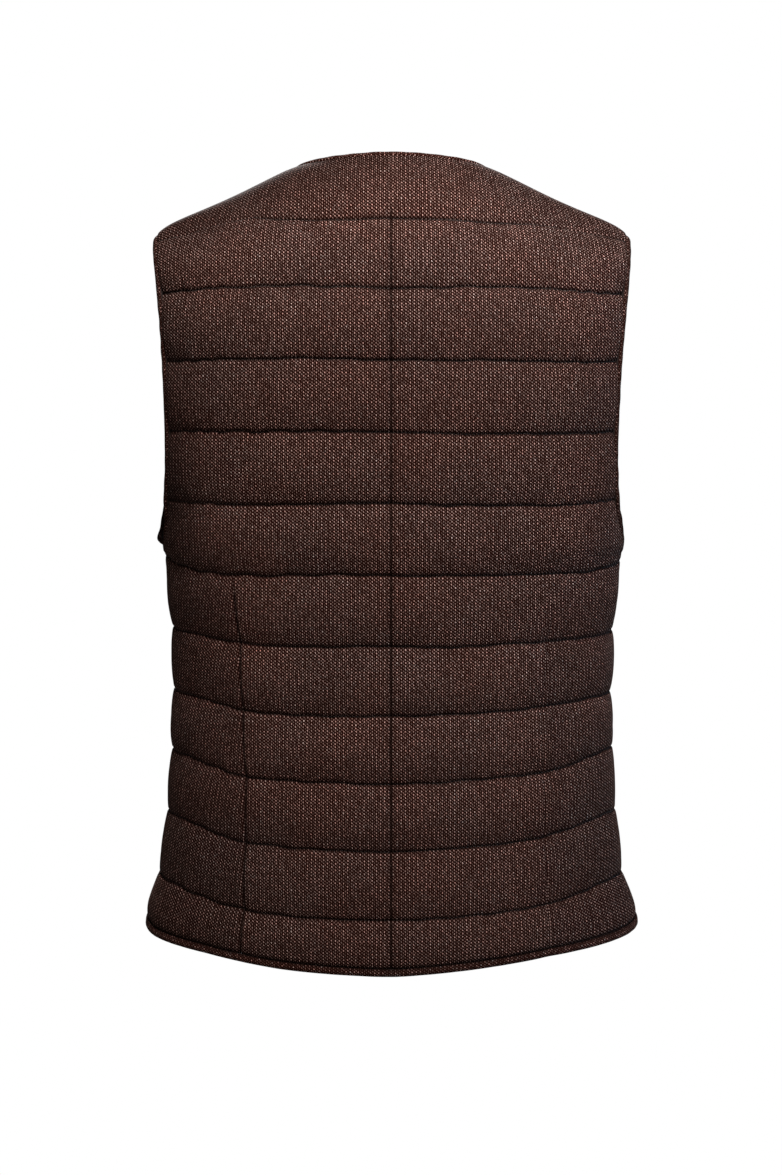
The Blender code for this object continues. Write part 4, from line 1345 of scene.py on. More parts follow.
    def build(self, outer: bpy.types.Material, inner: bpy.types.Material) -> bpy.types.Object:
        """Make the panel's mesh.

        Args:
            outer: finish of the outer face.
            inner: finish of the inner face.

        Returns:
            The panel, in place of its two solids.
        """
        form = self.pattern.form
        points, normals = self.smooth()
        high, crease = self.relief(points)
        # Painted shade on cloth that faces up; on the back also beside the underarms, and by height.
        facing_up = smoothstep(*self.ridge_facing, normals[..., 2])
        crease = np.maximum(crease, self.ridge_painted_shade[self.half] * facing_up)
        if self.side is Side.BACK:
            under = bell(points[..., 2] - self.underarm_level, self.underarm_height)
            under = under * smoothstep(*self.underarm_across, points[..., 0])
            crease = np.maximum(crease, self.underarm_painted_shade[self.half] * under)
            crease = crease + (1 - crease) * np.interp(-points[..., 2], *np.array(BACK_PAINTED_SHADE).T)
        out = run_lengths(points, 1)
        drawn = -side_draw(points, self.half)
        flare = armhole_gape(points, self.side, self.half) - drawn
        flare = drawn + flare * np.exp(-(out[:, -1:] - out) / self.flare_reach)
        points = points + flare[..., None] * np.array((1.0, 0.0, 0.0))
        sunk = np.clip(self.quilting.crest - high, 0.0, self.quilting.depth)
        low = form.wall - self.inner_follow * sunk
        low = np.maximum(low, self.thinnest - high)
        flip = np.array((self.half.value, 1, 1))
        self.outer = (points + normals * high[..., None]) * flip
        self.normals = normals * flip
        inner_points = (points - normals * low[..., None]) * flip
        grain = np.interp(self.across, *np.array(GRAIN_ACROSS).T)
        cloth = np.stack([grain * self.half.value, self._grain_level(normals)], axis=-1)
        moved = -self.grain_tilt * self.half.value * np.clip(self.grain_start - self.level, 0, 1)
        cut = sum(self.columns[:2]) if self.side is Side.BACK else 0
        made = shell(self.outer, inner_points, cloth, crease, cut, moved)
        obj = made.build(self.name, (outer, inner))
        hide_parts(f"{self.name}_body", f"{self.name}_shoulder")
        return obj

    def _grain_level(self, normals: np.ndarray) -> np.ndarray:
        """Levels for the weave, whose rows lie wider apart where the cloth slopes."""
        slope = np.sqrt(np.clip(1 - normals[..., 2] ** 2, 0.12, 1.0))
        slope = (slope[1:] + slope[:-1]) / 2
        steps = np.diff(self.level, axis=0) * slope
        return np.concatenate([self.level[:1], self.level[:1] + np.cumsum(steps, axis=0)])

    def flat_size(self) -> tuple[float, float, float]:
        """Width, length and area of the panel's cut piece."""
        width = float(np.ptp(self.across))
        length = float(np.ptp(self.level))
        rows = np.diff(self.level, axis=0)[:, :-1] * np.diff(self.across, axis=1)[:-1]
        return width, length, float(np.abs(rows).sum())


# Painted shade on the back, by height: depth below the origin, m, and share.
BACK_PAINTED_SHADE = (
    (0.030, 0.00), (0.070, 0.10), (0.130, 0.17), (0.190, 0.15), (0.245, 0.02), (0.400, 0.00),
    (0.450, 0.05), (0.500, 0.17), (0.560, 0.19), (0.620, 0.24),
)

# The weave's ribs lie wider apart where the side turns: place across, place in the weave, m.
GRAIN_ACROSS = (
    (0.000, 0.0000), (0.100, 0.1000), (0.130, 0.1288), (0.150, 0.1472), (0.170, 0.1645),
    (0.190, 0.1802), (0.210, 0.1942), (0.230, 0.2070), (0.250, 0.2195), (0.300, 0.2500),
)

# How far each side lies in from the plain form, by height, in mm.
SIDE_DRAW = {
    Half.LEFT: (
        (0.000, 1.0), (0.045, 1.4), (0.070, 2.4), (0.105, 2.3), (0.133, 1.4), (0.166, 0.9),
        (0.205, 0.1), (0.235, 0.4), (0.243, 1.0), (0.250, 1.6), (0.2585, 3.6), (0.267, 4.8),
        (0.276, 5.2), (0.286, 5.3), (0.292, 3.4), (0.297, 2.2), (0.301, 2.4), (0.306, 3.0),
        (0.315, 3.2), (0.335, 2.7), (0.377, 2.8), (0.395, 2.5), (0.412, 1.9),
        (0.430, 2.5), (0.450, 1.9), (0.475, 2.1), (0.498, 1.2), (0.512, 0.2), (0.533, 1.3),
        (0.550, 1.6), (0.567, 0.8), (0.594, 0.9), (0.604, 1.5), (0.6085, 1.9), (0.611, 0.3),
        (0.614, -0.5), (0.622, -1.8)),
    Half.RIGHT: (
        (0.100, 0.0), (0.190, -0.6), (0.225, -0.6), (0.243, 0.0), (0.2585, 1.2), (0.267, 1.6),
        (0.276, 1.4), (0.284, 0.8), (0.292, 0.5), (0.301, -1.6), (0.309, -0.3), (0.320, 0.3),
        (0.335, 0.8), (0.350, 0.4), (0.365, -0.5),
        (0.400, 0.1), (0.420, 0.4), (0.440, 1.3), (0.455, 0.0), (0.475, 0.5), (0.505, 0.4),
        (0.515, -0.4), (0.525, 0.6), (0.540, 1.4), (0.555, 1.7), (0.575, 1.3), (0.590, 0.9),
        (0.604, 0.3), (0.607, 0.5), (0.609, -1.0), (0.612, -1.5), (0.622, -2.0)),
}


# Distances from the centre plane, m, over which a side's draw begins and is whole.
SIDE_ZONE = (0.12, 0.180)
# Distances from the side line, m, over which the front's armhole edge begins to stand out.
GAPE_ZONE = (-0.004, -0.020)


def side_draw(points: np.ndarray, half: Half) -> np.ndarray:
    """How far the sides lie in from the plain form, in metres.

    Args:
        points: points of the plain form, on the left half.
        half: whose side table to read.

    Returns:
        Distances towards the centre plane.
    """
    depth, inset = np.array(SIDE_DRAW[half]).T
    drawn = np.interp(-points[..., 2], depth, inset) * MM
    return drawn * smoothstep(*SIDE_ZONE, points[..., 0])


# How far each front's armhole edge stands out beside the underarm, by height, in mm.
ARMHOLE_GAPE = {
    Half.LEFT: (
        (0.185, 0.0), (0.205, 1.8), (0.225, 4.8), (0.240, 7.2), (0.250, 8.4), (0.2585, 8.9),
        (0.267, 7.7), (0.2755, 6.0), (0.2837, 5.3), (0.2875, 5.2), (0.2905, 0.0)),
    Half.RIGHT: (
        (0.180, 0.0), (0.200, 1.8), (0.222, 4.8), (0.238, 7.8), (0.250, 9.0), (0.2585, 9.6),
        (0.267, 9.4), (0.2755, 7.1), (0.284, 4.7), (0.295, 2.5), (0.305, 0.0)),
}


def armhole_gape(points: np.ndarray, side: Side, half: Half) -> np.ndarray:
    """How far an armhole's edge lies out from the plain form, in metres.

    Args:
        points: points of the plain form, on the left half.
        side: front or back.
        half: whose tables to read.

    Returns:
        Distances away from the centre plane.
    """
    drawn = -side_draw(points, half)
    if side is Side.BACK:
        return drawn
    depth, out = np.array(ARMHOLE_GAPE[half]).T
    out = np.interp(-points[..., 2], depth, out) * MM
    share = smoothstep(*GAPE_ZONE, points[..., 1]) * smoothstep(0.0, 1.0 * MM, out)
    return drawn * (1 - share) + out * share


# ---- Welts ----


@dataclass
class WeltLine:
    """One run of a welt: its inner and outer points, with the normals at both."""

    inner: np.ndarray
    outer: np.ndarray
    inner_normal: np.ndarray
    outer_normal: np.ndarray

    @staticmethod
    def on_sheet(sheet: ClothSheet, inner: np.ndarray, outer: np.ndarray, half: Half,
                 flare: bool = False) -> "WeltLine":
        """Lay a run on a sheet.

        Args:
            sheet: the front or the back.
            inner: pattern places where the welt meets the panel.
            outer: pattern places of the free edge.
            half: the half of the vest that it lies on.
            flare: whether the run stands out beside the underarm.

        Returns:
            The run in space.
        """
        (start, start_normal), (end, end_normal) = [
            sheet.at(line[:, 0], line[:, 1]) for line in (inner, outer)]
        if sheet.side is Side.FRONT and half is Half.RIGHT:
            start = start - start_normal * sheet.form.lap_depth(start * (-1, 1, 1))[:, None]
            end = end - end_normal * sheet.form.lap_depth(end * (-1, 1, 1))[:, None]
        if flare:
            out = np.array((1.0, 0.0, 0.0))
            for line in (start, end):
                line += armhole_gape(line, sheet.side, half)[:, None] * out
        flip = np.array((half.value, 1, 1))
        return WeltLine(start * flip, end * flip, start_normal * flip, end_normal * flip)

    @staticmethod
    def joined(runs: Sequence["WeltLine"]) -> "WeltLine":
        """Several runs, one after the other."""
        names = ("inner", "outer", "inner_normal", "outer_normal")
        return WeltLine(*(np.concatenate([getattr(run, name) for run in runs])
                          for name in names))

    def reversed(self) -> "WeltLine":
        """The run from its other end."""
        return WeltLine(self.inner[::-1], self.outer[::-1], self.inner_normal[::-1],
                        self.outer_normal[::-1])


@dataclass
class Welt:
    """A narrow folded strip that finishes a free edge."""

    name: str
    line: WeltLine
    closed: bool
    seed: int
    wall: float = 0.0050
    fullness: float = 0.35 * MM
    # Painted shade: in the seam beside the panel, where the strip rolls over, how far into the strip
    # the seam's shade reaches, and its share on the strip's back.
    seam_painted_shade: float = 0.9
    roll_painted_shade: float = 0.0
    seam_reach: float = 0.18
    back_painted_shade: float = 0.6
    ripple: float = 0.07 * MM
    ripple_waves: tuple[float, float] = (60.0, 420.0)
    ripple_fade: float = 0.02
    # Painted shade where the strip rolls over: at the shoulder, what it gains lower, and by the
    # underarm.
    roll_levels: tuple[float, float, float] = (0.45, 0.55, 0.86)
    # Columns: share of the strip's width, depth under its face as a share of half its wall.
    section: tuple[tuple[float, float], ...] = (
        (0.000, 0.62), (0.045, 0.36), (0.110, 0.15), (0.210, 0.03), (0.360, -0.04),
        (0.520, -0.05), (0.670, 0.02), (0.800, 0.16), (0.900, 0.37), (0.968, 0.64),
        (1.000, 1.00),
    )

    def build(self, finish: bpy.types.Material, back: bpy.types.Material) -> bpy.types.Object:
        """Make the welt's mesh, with a finish for its face and one for its back.

        Args:
            finish: the face's finish.
            back: the back's finish.

        Returns:
            The welt.
        """
        line = self.line
        table = np.array(self.section)
        share = np.concatenate([table[:, 0], table[-2::-1, 0]])
        sunk = np.concatenate([table[:, 1], 2 - table[-2::-1, 1]])
        rng = np.random.default_rng(self.seed)
        steps = np.linalg.norm(np.diff(line.outer, axis=0), axis=1)
        along = np.concatenate([[0.0], np.cumsum(steps)])
        ripple = sum(rng.uniform(0.4, 1.0) * np.sin(along * rng.uniform(*self.ripple_waves)
                                                    + rng.uniform(*WAVE_START)) for _ in range(5))
        if self.closed:
            ripple *= np.minimum(1.0, np.minimum(along, along[-1] - along) / self.ripple_fade)
        ripple = ripple[:, None] * self.ripple
        width = line.outer - line.inner
        points = line.inner[:, None] + width[:, None] * share[None, :, None]
        normals = unit(line.inner_normal[:, None]
                       + (line.outer_normal - line.inner_normal)[:, None] * share[None, :, None])
        height = self.fullness * (1 - sunk)[None, :] - sunk[None, :] * self.wall / 2 + ripple
        points = points + normals * height[..., None]
        strip = np.linalg.norm(width, axis=1).mean()
        turn = np.concatenate([[0.0], np.cumsum(np.hypot(np.diff(share) * strip,
                                                         np.diff(sunk) * self.wall / 2))])
        turn = np.append(turn, turn[-1] + self.wall * 0.5)
        cloth = np.stack(np.broadcast_arrays(along[:, None], turn[None, :]), axis=-1)
        # Painted shade in the seam beside the panel, and where the strip rolls over.
        dark = self.seam_painted_shade * np.where(sunk < 1, 1.0, self.back_painted_shade)
        dark = dark * bell(share, self.seam_reach)
        crease = np.maximum(dark, self._roll_painted_shade(points, share, sunk))
        inside = range(len(table) + 1, len(share))
        made = tube(points, cloth, self.closed, crease, inside)
        return made.build(self.name, (finish, back))

    def _roll_painted_shade(self, points: np.ndarray, share: np.ndarray, sunk: np.ndarray) -> np.ndarray:
        """Painted shade where the strip rolls over its edge, deep on the fronts by the underarm.

        Args:
            points: the strip's points.
            share: each place's share of the strip's width.
            sunk: each place's depth under the face.

        Returns:
            A mask for the strip's points.
        """
        turned = np.where(sunk < 1, smoothstep(0.0, 0.65, share), 1.0)
        low = smoothstep(-0.10, -0.19, points[..., 2])
        under = (smoothstep(-0.195, -0.235, points[..., 2])
                 * smoothstep(0.004, -0.010, points[..., 1]))
        least, rest, deep = self.roll_levels
        shade = self.roll_painted_shade * turned * (least + rest * low)
        return np.maximum(shade, (self.roll_painted_shade > 0) * deep * under)


# ---- Stitches ----


@dataclass(frozen=True)
class StitchRow:
    """Short stitches that lie in a sewn line."""

    period: float = 3.1 * MM
    length: float = 2.45 * MM
    radius: float = 0.30 * MM
    lift: float = 0.12 * MM
    dive: float = 0.55 * MM
    margin: float = 1 * MM
    taper: float = 0.9
    sides: int = 5
    rings: int = 5

    def along(self, points: np.ndarray, normals: np.ndarray) -> tuple[np.ndarray, np.ndarray]:
        """Stitches along one line.

        Args:
            points: the line's points.
            normals: outward normals at the points.

        Returns:
            Points by stitch, ring and side, and the faces of one stitch.
        """
        steps = np.linalg.norm(np.diff(points, axis=0), axis=1)
        length = np.concatenate([[0.0], np.cumsum(steps)])
        count = int((length[-1] - 2 * self.margin) / self.period)
        starts = self.margin + np.arange(count) * self.period
        share = np.linspace(0.0, 1.0, self.rings)
        at = starts[:, None] + share[None, :] * self.length
        middle, normal = [
            np.stack([np.interp(at, length, table[:, k]) for k in range(3)], axis=-1)
            for table in (points, normals)]
        normal = unit(normal)
        dive = (2 * share - 1) ** 4
        middle = middle + normal * (self.lift - self.dive * dive)[None, :, None]
        tangent = unit(np.gradient(middle, axis=1))
        beside = unit(np.cross(normal, tangent))
        turn = np.arange(self.sides) * 2 * math.pi / self.sides
        size = self.radius * np.sqrt(np.clip(1 - (2 * share - 1) ** 6 * self.taper, 0, 1))
        ring = (np.cos(turn)[None, None, :, None] * beside[:, :, None]
                + np.sin(turn)[None, None, :, None] * normal[:, :, None])
        made = middle[:, :, None] + ring * size[None, :, None, None]
        return made, grid_faces(self.rings, self.sides, closed=True)


def stitch_piece(name: str, lines: Iterable[tuple[np.ndarray, np.ndarray]], row: StitchRow,
                 finish: bpy.types.Material) -> bpy.types.Object:
    """All the stitches of one panel as one piece.

    Args:
        name: the piece's name.
        lines: points and normals of each sewn line.
        row: how the stitches look.
        finish: the thread's finish.

    Returns:
        The new piece.
    """
    points, faces, count = [], [], 0
    size = row.rings * row.sides
    for line_points, line_normals in lines:
        made, one = row.along(line_points, line_normals)
        stitches = len(made)
        cap = np.array([[0, 1, 2, 3]])
        last = (row.rings - 1) * row.sides
        ends = np.concatenate([cap[:, ::-1], cap + last])
        whole = np.concatenate([one, ends])
        offset = count + np.arange(stitches) * size
        faces.append((whole[None] + offset[:, None, None]).reshape(-1, 4))
        points.append(made.reshape(-1, 3))
        count += stitches * size
    points, faces = np.concatenate(points), np.concatenate(faces)
    cloth = np.zeros((len(faces), 4, 2)) + np.array([[0, 0], [0, 1], [1, 1], [1, 0]]) * MM
    parts = MeshParts(points=points, faces=faces, cloth=cloth, finish=np.zeros(len(faces)))
    return parts.build(name, (finish,))


# ---- Finishes ----


class Nodes:
    """Short calls that add nodes to one tree and link them."""

    def __init__(self, tree: bpy.types.NodeTree) -> None:
        """Work in a tree."""
        self.tree = tree

    def put(self, socket: Socket, value: Value) -> None:
        """Link a socket, or set its value."""
        if isinstance(value, bpy.types.NodeSocket):
            self.tree.links.new(value, socket)
        elif isinstance(value, (int, float)):
            socket.default_value = value
        else:
            value = tuple(value)
            full = len(socket.default_value)
            socket.default_value = value + (1.0,) * (full - len(value))

    def add(self, kind: str, inputs: Optional[dict] = None, **settings: object) -> bpy.types.Node:
        """Add a node.

        Args:
            kind: the node's type, without its "ShaderNode".
            inputs: values or sockets by input name or number.
            settings: the node's own properties.

        Returns:
            The node.
        """
        node = self.tree.nodes.new("ShaderNode" + kind)
        for name, value in settings.items():
            setattr(node, name, value)
        for name, value in (inputs or {}).items():
            self.put(node.inputs[name], value)
        return node

    def math(self, operation: str, *values: Value, clamp: bool = False) -> Socket:
        """A Math node's result."""
        node = self.add("Math", dict(enumerate(values)), operation=operation, use_clamp=clamp)
        return node.outputs[0]

    def vector(self, operation: str, *values: Value) -> Socket:
        """A Vector Math node's result."""
        node = self.add("VectorMath", dict(enumerate(values)), operation=operation)
        return node.outputs["Value" if operation == "LENGTH" else "Vector"]

    def ramp(self, value: Value, low: float, high: float, start: float = 0.0,
             end: float = 1.0) -> Socket:
        """A value eased from one range into another.

        Args:
            value: what to ease.
            low: where it starts to change.
            high: where it stops.
            start: the result up to the low value.
            end: the result from the high value on.

        Returns:
            The eased value.
        """
        node = self.add("MapRange", {"Value": value, "From Min": low, "From Max": high,
                                     "To Min": start, "To Max": end},
                        interpolation_type="SMOOTHSTEP")
        return node.outputs["Result"]

    def mix(self, share: Value, first: Value, second: Value, blend: str = "MIX") -> Socket:
        """Two colours mixed.

        Args:
            share: share of the second colour.
            first: the first colour.
            second: the second colour.
            blend: how they are blended.

        Returns:
            The mixed colour.
        """
        node = self.add("Mix", data_type="RGBA", blend_type=blend)
        self.put(node.inputs["Factor"], share)
        self.put(node.inputs[6], first)
        self.put(node.inputs[7], second)
        return node.outputs[2]

    def noise(self, vector: Value, scale: float, detail: float = 2.0,
              rough: float = 0.5) -> Socket:
        """A noise value."""
        node = self.add("TexNoise", {"Vector": vector, "Scale": scale, "Detail": detail,
                                     "Roughness": rough})
        return node.outputs["Fac"]

    def random(self, vector: Value) -> tuple[Socket, Socket]:
        """A random value and colour for each whole place of a vector."""
        node = self.add("TexWhiteNoise", {"Vector": vector}, noise_dimensions="3D")
        return node.outputs["Value"], node.outputs["Color"]


def new_group(name: str, inputs: Sequence[tuple[str, str, float]],
              outputs: Sequence[tuple[str, str]]) -> bpy.types.NodeTree:
    """A shader node group with named sockets.

    Args:
        name: the group's name.
        inputs: name, socket type and default of each input.
        outputs: name and socket type of each output.

    Returns:
        The group, with its input and output nodes in it.
    """
    tree = bpy.data.node_groups.new(name, "ShaderNodeTree")
    for label, kind, default in inputs:
        socket = tree.interface.new_socket(label, in_out="INPUT", socket_type=f"NodeSocket{kind}")
        if kind == "Float":
            socket.default_value = default
    for label, kind in outputs:
        tree.interface.new_socket(label, in_out="OUTPUT", socket_type=f"NodeSocket{kind}")
    tree.nodes.new("NodeGroupInput")
    tree.nodes.new("NodeGroupOutput")
    return tree


def yarn_dots(kit: Nodes, given: dict[str, Socket], across: Socket, level: Socket,
              shift: float) -> tuple[Socket, Socket, Socket]:
    """One set of leaning yarn dots, one in each cell.

    Args:
        kit: nodes of the weave group.
        given: the group's inputs.
        across: place across the cloth, in cells.
        level: place up the cloth, in cells.
        shift: how far the set lies from the first one, in cells both ways.

    Returns:
        The dots' mask, and a random value and colour for each dot.
    """
    across = kit.math("ADD", across, shift)
    level = kit.math("ADD", level, shift)
    column, row = kit.math("FLOOR", across), kit.math("FLOOR", level)
    x = kit.math("SUBTRACT", kit.math("SUBTRACT", across, column), 0.5)
    y = kit.math("SUBTRACT", kit.math("SUBTRACT", level, row), 0.5)
    y = kit.math("MULTIPLY", y, kit.math("DIVIDE", given["Cell Height"], given["Cell Width"]))
    cell = kit.add("CombineXYZ", {"X": column, "Y": row, "Z": 9.0 * shift}).outputs["Vector"]
    value, tint = kit.random(cell)
    stray = kit.random(kit.vector("ADD", cell, (0.0, 0.0, 3.0)))[0]
    x = kit.math("ADD", x, kit.ramp(stray, 0.0, 1.0, -0.05, 0.05))
    cosine, sine = kit.math("COSINE", given["Lean"]), kit.math("SINE", given["Lean"])
    along = kit.math("ADD", kit.math("MULTIPLY", x, cosine), kit.math("MULTIPLY", y, sine))
    beside = kit.math("SUBTRACT", kit.math("MULTIPLY", y, cosine), kit.math("MULTIPLY", x, sine))
    reach = kit.add("CombineXYZ", {"X": kit.math("DIVIDE", along, given["Length"]),
                                   "Y": kit.math("DIVIDE", beside, given["Width"])})
    distance = kit.vector("LENGTH", reach.outputs["Vector"])
    return kit.ramp(distance, 1.28, 0.50), value, tint


def weave_group() -> bpy.types.NodeTree:
    """Leaning yarn dots in upright rows, with fainter ones between them."""
    known = bpy.data.node_groups.get("weave")
    if known:
        return known
    tree = new_group("weave", (
        ("Place", "Vector", 0.0), ("Cell Width", "Float", 0.0033),
        ("Cell Height", "Float", 0.0025), ("Lean", "Float", 1.26), ("Length", "Float", 0.21),
        ("Width", "Float", 0.105), ("Between", "Float", 0.40), ("Looseness", "Float", 0.00045),
    ), (("Yarn", "Float"), ("Random", "Float"), ("Tint", "Color")))
    kit = Nodes(tree)
    given = tree.nodes["Group Input"].outputs
    sway = kit.add("TexNoise", {"Vector": given["Place"], "Scale": 210.0, "Detail": 1.0})
    shift = kit.vector("SUBTRACT", sway.outputs["Color"], (0.5, 0.5, 0.5))
    shift = kit.vector("SCALE", shift)
    kit.put(shift.node.inputs["Scale"], given["Looseness"])
    place = kit.vector("ADD", given["Place"], shift)
    parts = kit.add("SeparateXYZ", {"Vector": place}).outputs
    across = kit.math("DIVIDE", parts["X"], given["Cell Width"])
    level = kit.math("DIVIDE", parts["Y"], given["Cell Height"])
    main, value, tint = yarn_dots(kit, given, across, level, 0.0)
    other, other_value, other_tint = yarn_dots(kit, given, across, level, 0.5)
    other = kit.math("MULTIPLY", other, given["Between"])
    is_other = kit.math("GREATER_THAN", other, main)
    change = kit.math("MULTIPLY", is_other, kit.math("SUBTRACT", other_value, value))
    made = tree.nodes["Group Output"].inputs
    for name, socket in (("Yarn", kit.math("MAXIMUM", main, other)),
                         ("Random", kit.math("ADD", value, change)),
                         ("Tint", kit.mix(is_other, tint, other_tint))):
        kit.put(made[name], socket)
    return tree


def mottle_group() -> bpy.types.NodeTree:
    """Slow uneven shading of dyed cloth, with fine fibre noise."""
    known = bpy.data.node_groups.get("mottle")
    if known:
        return known
    tree = new_group("mottle", (("Place", "Vector", 0.0), ("Patch Size", "Float", 0.03)),
                     (("Patches", "Float"), ("Warmth", "Float"), ("Fibre", "Float")))
    kit = Nodes(tree)
    given = tree.nodes["Group Input"].outputs
    scaled = kit.vector("DIVIDE", given["Place"])
    size = kit.add("CombineXYZ", {"X": given["Patch Size"], "Y": given["Patch Size"],
                                  "Z": 1.0}).outputs["Vector"]
    kit.put(scaled.node.inputs[1], size)
    patches = kit.noise(scaled, 1.0, 3.0, 0.6)
    warmth = kit.noise(kit.vector("ADD", scaled, (7.3, 2.1, 0.4)), 0.6, 2.0, 0.5)
    fibre = kit.noise(given["Place"], 2600.0, 2.0, 0.7)
    made = tree.nodes["Group Output"].inputs
    for name, socket in (("Patches", patches), ("Warmth", warmth), ("Fibre", fibre)):
        kit.put(made[name], socket)
    return tree


def fresh_material(name: str, colour: Colour) -> tuple[bpy.types.Material, Nodes,
                                                        bpy.types.Node]:
    """A new material with its node kit and its Principled shader.

    Args:
        name: the material's name.
        colour: its plain colour.

    Returns:
        The material, its nodes and its shader.
    """
    material = bpy.data.materials.new(name)
    material.use_nodes = True
    material.diffuse_color = (*colour, 1.0)
    kit = Nodes(material.node_tree)
    return material, kit, material.node_tree.nodes["Principled BSDF"]


def grouped(kit: Nodes, tree: bpy.types.NodeTree, inputs: dict) -> bpy.types.Node:
    """A group node with its inputs set.

    Args:
        kit: nodes of the material.
        tree: the group.
        inputs: values or sockets by input name.

    Returns:
        The node.
    """
    node = kit.tree.nodes.new("ShaderNodeGroup")
    node.node_tree = tree
    for name, value in inputs.items():
        kit.put(node.inputs[name], value)
    return node


@dataclass(frozen=True)
class WoolFinish:
    """Coarse tweed: pale slanting yarn dots in upright ribs on a dark ground."""

    name: str
    ground: Colour = (0.0150, 0.0026, 0.0010)
    yarn: Colour = (0.5550, 0.3860, 0.3420)
    red: Colour = (0.5300, 0.3000, 0.2660)
    pale: Colour = (0.6900, 0.5700, 0.5300)
    cell: tuple[float, float] = (0.00326, 0.00249)
    dot: tuple[float, float] = (0.220, 0.126)
    lean: float = 1.20
    patch: float = 0.035
    roughness: float = 0.92
    sheen: float = 0.025
    sheen_roughness: float = 0.40
    sheen_tint: Colour = (0.90, 0.52, 0.42)
    bump: float = 0.50
    bump_distance: float = 0.45 * MM
    # How far the painted shade darkens the colour at most.
    crease_dark: float = 0.88

    def make(self) -> bpy.types.Material:
        """Make the material."""
        material, kit, shader = fresh_material(self.name, self.yarn)
        place = kit.add("UVMap", uv_map=CLOTH_MAP).outputs["UV"]
        weave = grouped(kit, weave_group(), {
            "Place": place, "Cell Width": self.cell[0], "Cell Height": self.cell[1],
            "Lean": self.lean, "Length": self.dot[0], "Width": self.dot[1]}).outputs
        mottle = grouped(kit, mottle_group(), {"Place": place, "Patch Size": self.patch}).outputs
        crease = kit.add("Attribute", attribute_name=PAINTED_SHADE).outputs["Fac"]
        tint = kit.add("SeparateColor", {"Color": weave["Tint"]}).outputs
        yarn = kit.mix(kit.ramp(tint["Red"], 0.50, 1.0, 0.0, 0.7), self.yarn, self.red)
        yarn = kit.mix(kit.ramp(tint["Green"], 0.86, 1.0, 0.0, 0.7), yarn, self.pale)
        bright = kit.math("MULTIPLY", kit.ramp(weave["Random"], 0.0, 1.0, 0.40, 1.18),
                          kit.ramp(mottle["Patches"], 0.25, 0.75, 0.90, 1.10))
        bright = kit.math("MULTIPLY", bright, kit.ramp(mottle["Fibre"], 0.2, 0.8, 0.88, 1.10))
        shown = kit.math("MULTIPLY", weave["Yarn"], bright, clamp=True)
        colour = kit.mix(shown, self.ground, yarn)
        warm = kit.mix(kit.ramp(mottle["Warmth"], 0.3, 0.7), (1.05, 0.97, 0.94),
                       (0.97, 1.00, 1.01))
        colour = kit.mix(1.0, colour, warm, "MULTIPLY")
        # Painted shade: the mask darkens the colour towards near black.
        dark = kit.math("MULTIPLY", crease, self.crease_dark, clamp=True)
        colour = kit.mix(dark, colour, (0.0045, 0.0014, 0.0009))
        kit.put(shader.inputs["Base Color"], colour)
        kit.put(shader.inputs["Roughness"], kit.ramp(mottle["Fibre"], 0.2, 0.8,
                                                     self.roughness - 0.08, self.roughness + 0.06))
        shader.inputs["Sheen Weight"].default_value = self.sheen
        shader.inputs["Sheen Roughness"].default_value = self.sheen_roughness
        shader.inputs["Sheen Tint"].default_value = (*self.sheen_tint, 1.0)
        shader.inputs["Specular IOR Level"].default_value = 0.05
        height = kit.math("ADD", weave["Yarn"], kit.math("MULTIPLY", mottle["Fibre"], 0.20))
        bump = kit.add("Bump", {"Strength": self.bump, "Distance": self.bump_distance,
                                "Height": height})
        kit.put(shader.inputs["Normal"], bump.outputs["Normal"])
        return material


@dataclass(frozen=True)
class BackingFinish:
    """The plain dark cloth of the inner face."""

    name: str = "backing_cloth"
    colour: Colour = (0.0120, 0.0080, 0.0072)
    thread: Colour = (0.0250, 0.0165, 0.0145)
    roughness: float = 0.85

    def make(self) -> bpy.types.Material:
        """Make the material."""
        material, kit, shader = fresh_material(self.name, self.colour)
        place = kit.add("UVMap", uv_map=CLOTH_MAP).outputs["UV"]
        weave = grouped(kit, weave_group(), {
            "Place": place, "Cell Width": 0.0011, "Cell Height": 0.0009, "Lean": 0.8,
            "Length": 0.40, "Width": 0.20, "Between": 1.0, "Looseness": 0.0001}).outputs
        mottle = grouped(kit, mottle_group(), {"Place": place, "Patch Size": 0.05}).outputs
        shown = kit.math("MULTIPLY", weave["Yarn"],
                         kit.ramp(mottle["Patches"], 0.3, 0.7, 0.55, 1.0))
        kit.put(shader.inputs["Base Color"], kit.mix(shown, self.colour, self.thread))
        kit.put(shader.inputs["Roughness"], kit.ramp(mottle["Patches"], 0.3, 0.7,
                                                     self.roughness - 0.07, self.roughness + 0.07))
        shader.inputs["Sheen Weight"].default_value = 0.03
        shader.inputs["Specular IOR Level"].default_value = 0.15
        bump = kit.add("Bump", {"Strength": 0.35, "Distance": 0.15 * MM,
                                "Height": weave["Yarn"]})
        kit.put(shader.inputs["Normal"], bump.outputs["Normal"])
        return material


@dataclass(frozen=True)
class ThreadFinish:
    """Dark twisted sewing thread."""

    name: str = "sewing_thread"
    colour: Colour = (0.0110, 0.0065, 0.0052)
    light: Colour = (0.0330, 0.0200, 0.0160)
    roughness: float = 0.60

    def make(self) -> bpy.types.Material:
        """Make the material."""
        material, kit, shader = fresh_material(self.name, self.colour)
        place = kit.add("TexCoord").outputs["Object"]
        twist = kit.noise(place, 3800.0, 2.0, 0.6)
        kit.put(shader.inputs["Base Color"],
                kit.mix(kit.ramp(twist, 0.3, 0.7), self.colour, self.light))
        kit.put(shader.inputs["Roughness"], kit.ramp(twist, 0.2, 0.8, self.roughness - 0.1,
                                                     self.roughness + 0.15))
        shader.inputs["Sheen Weight"].default_value = 0.1
        return material


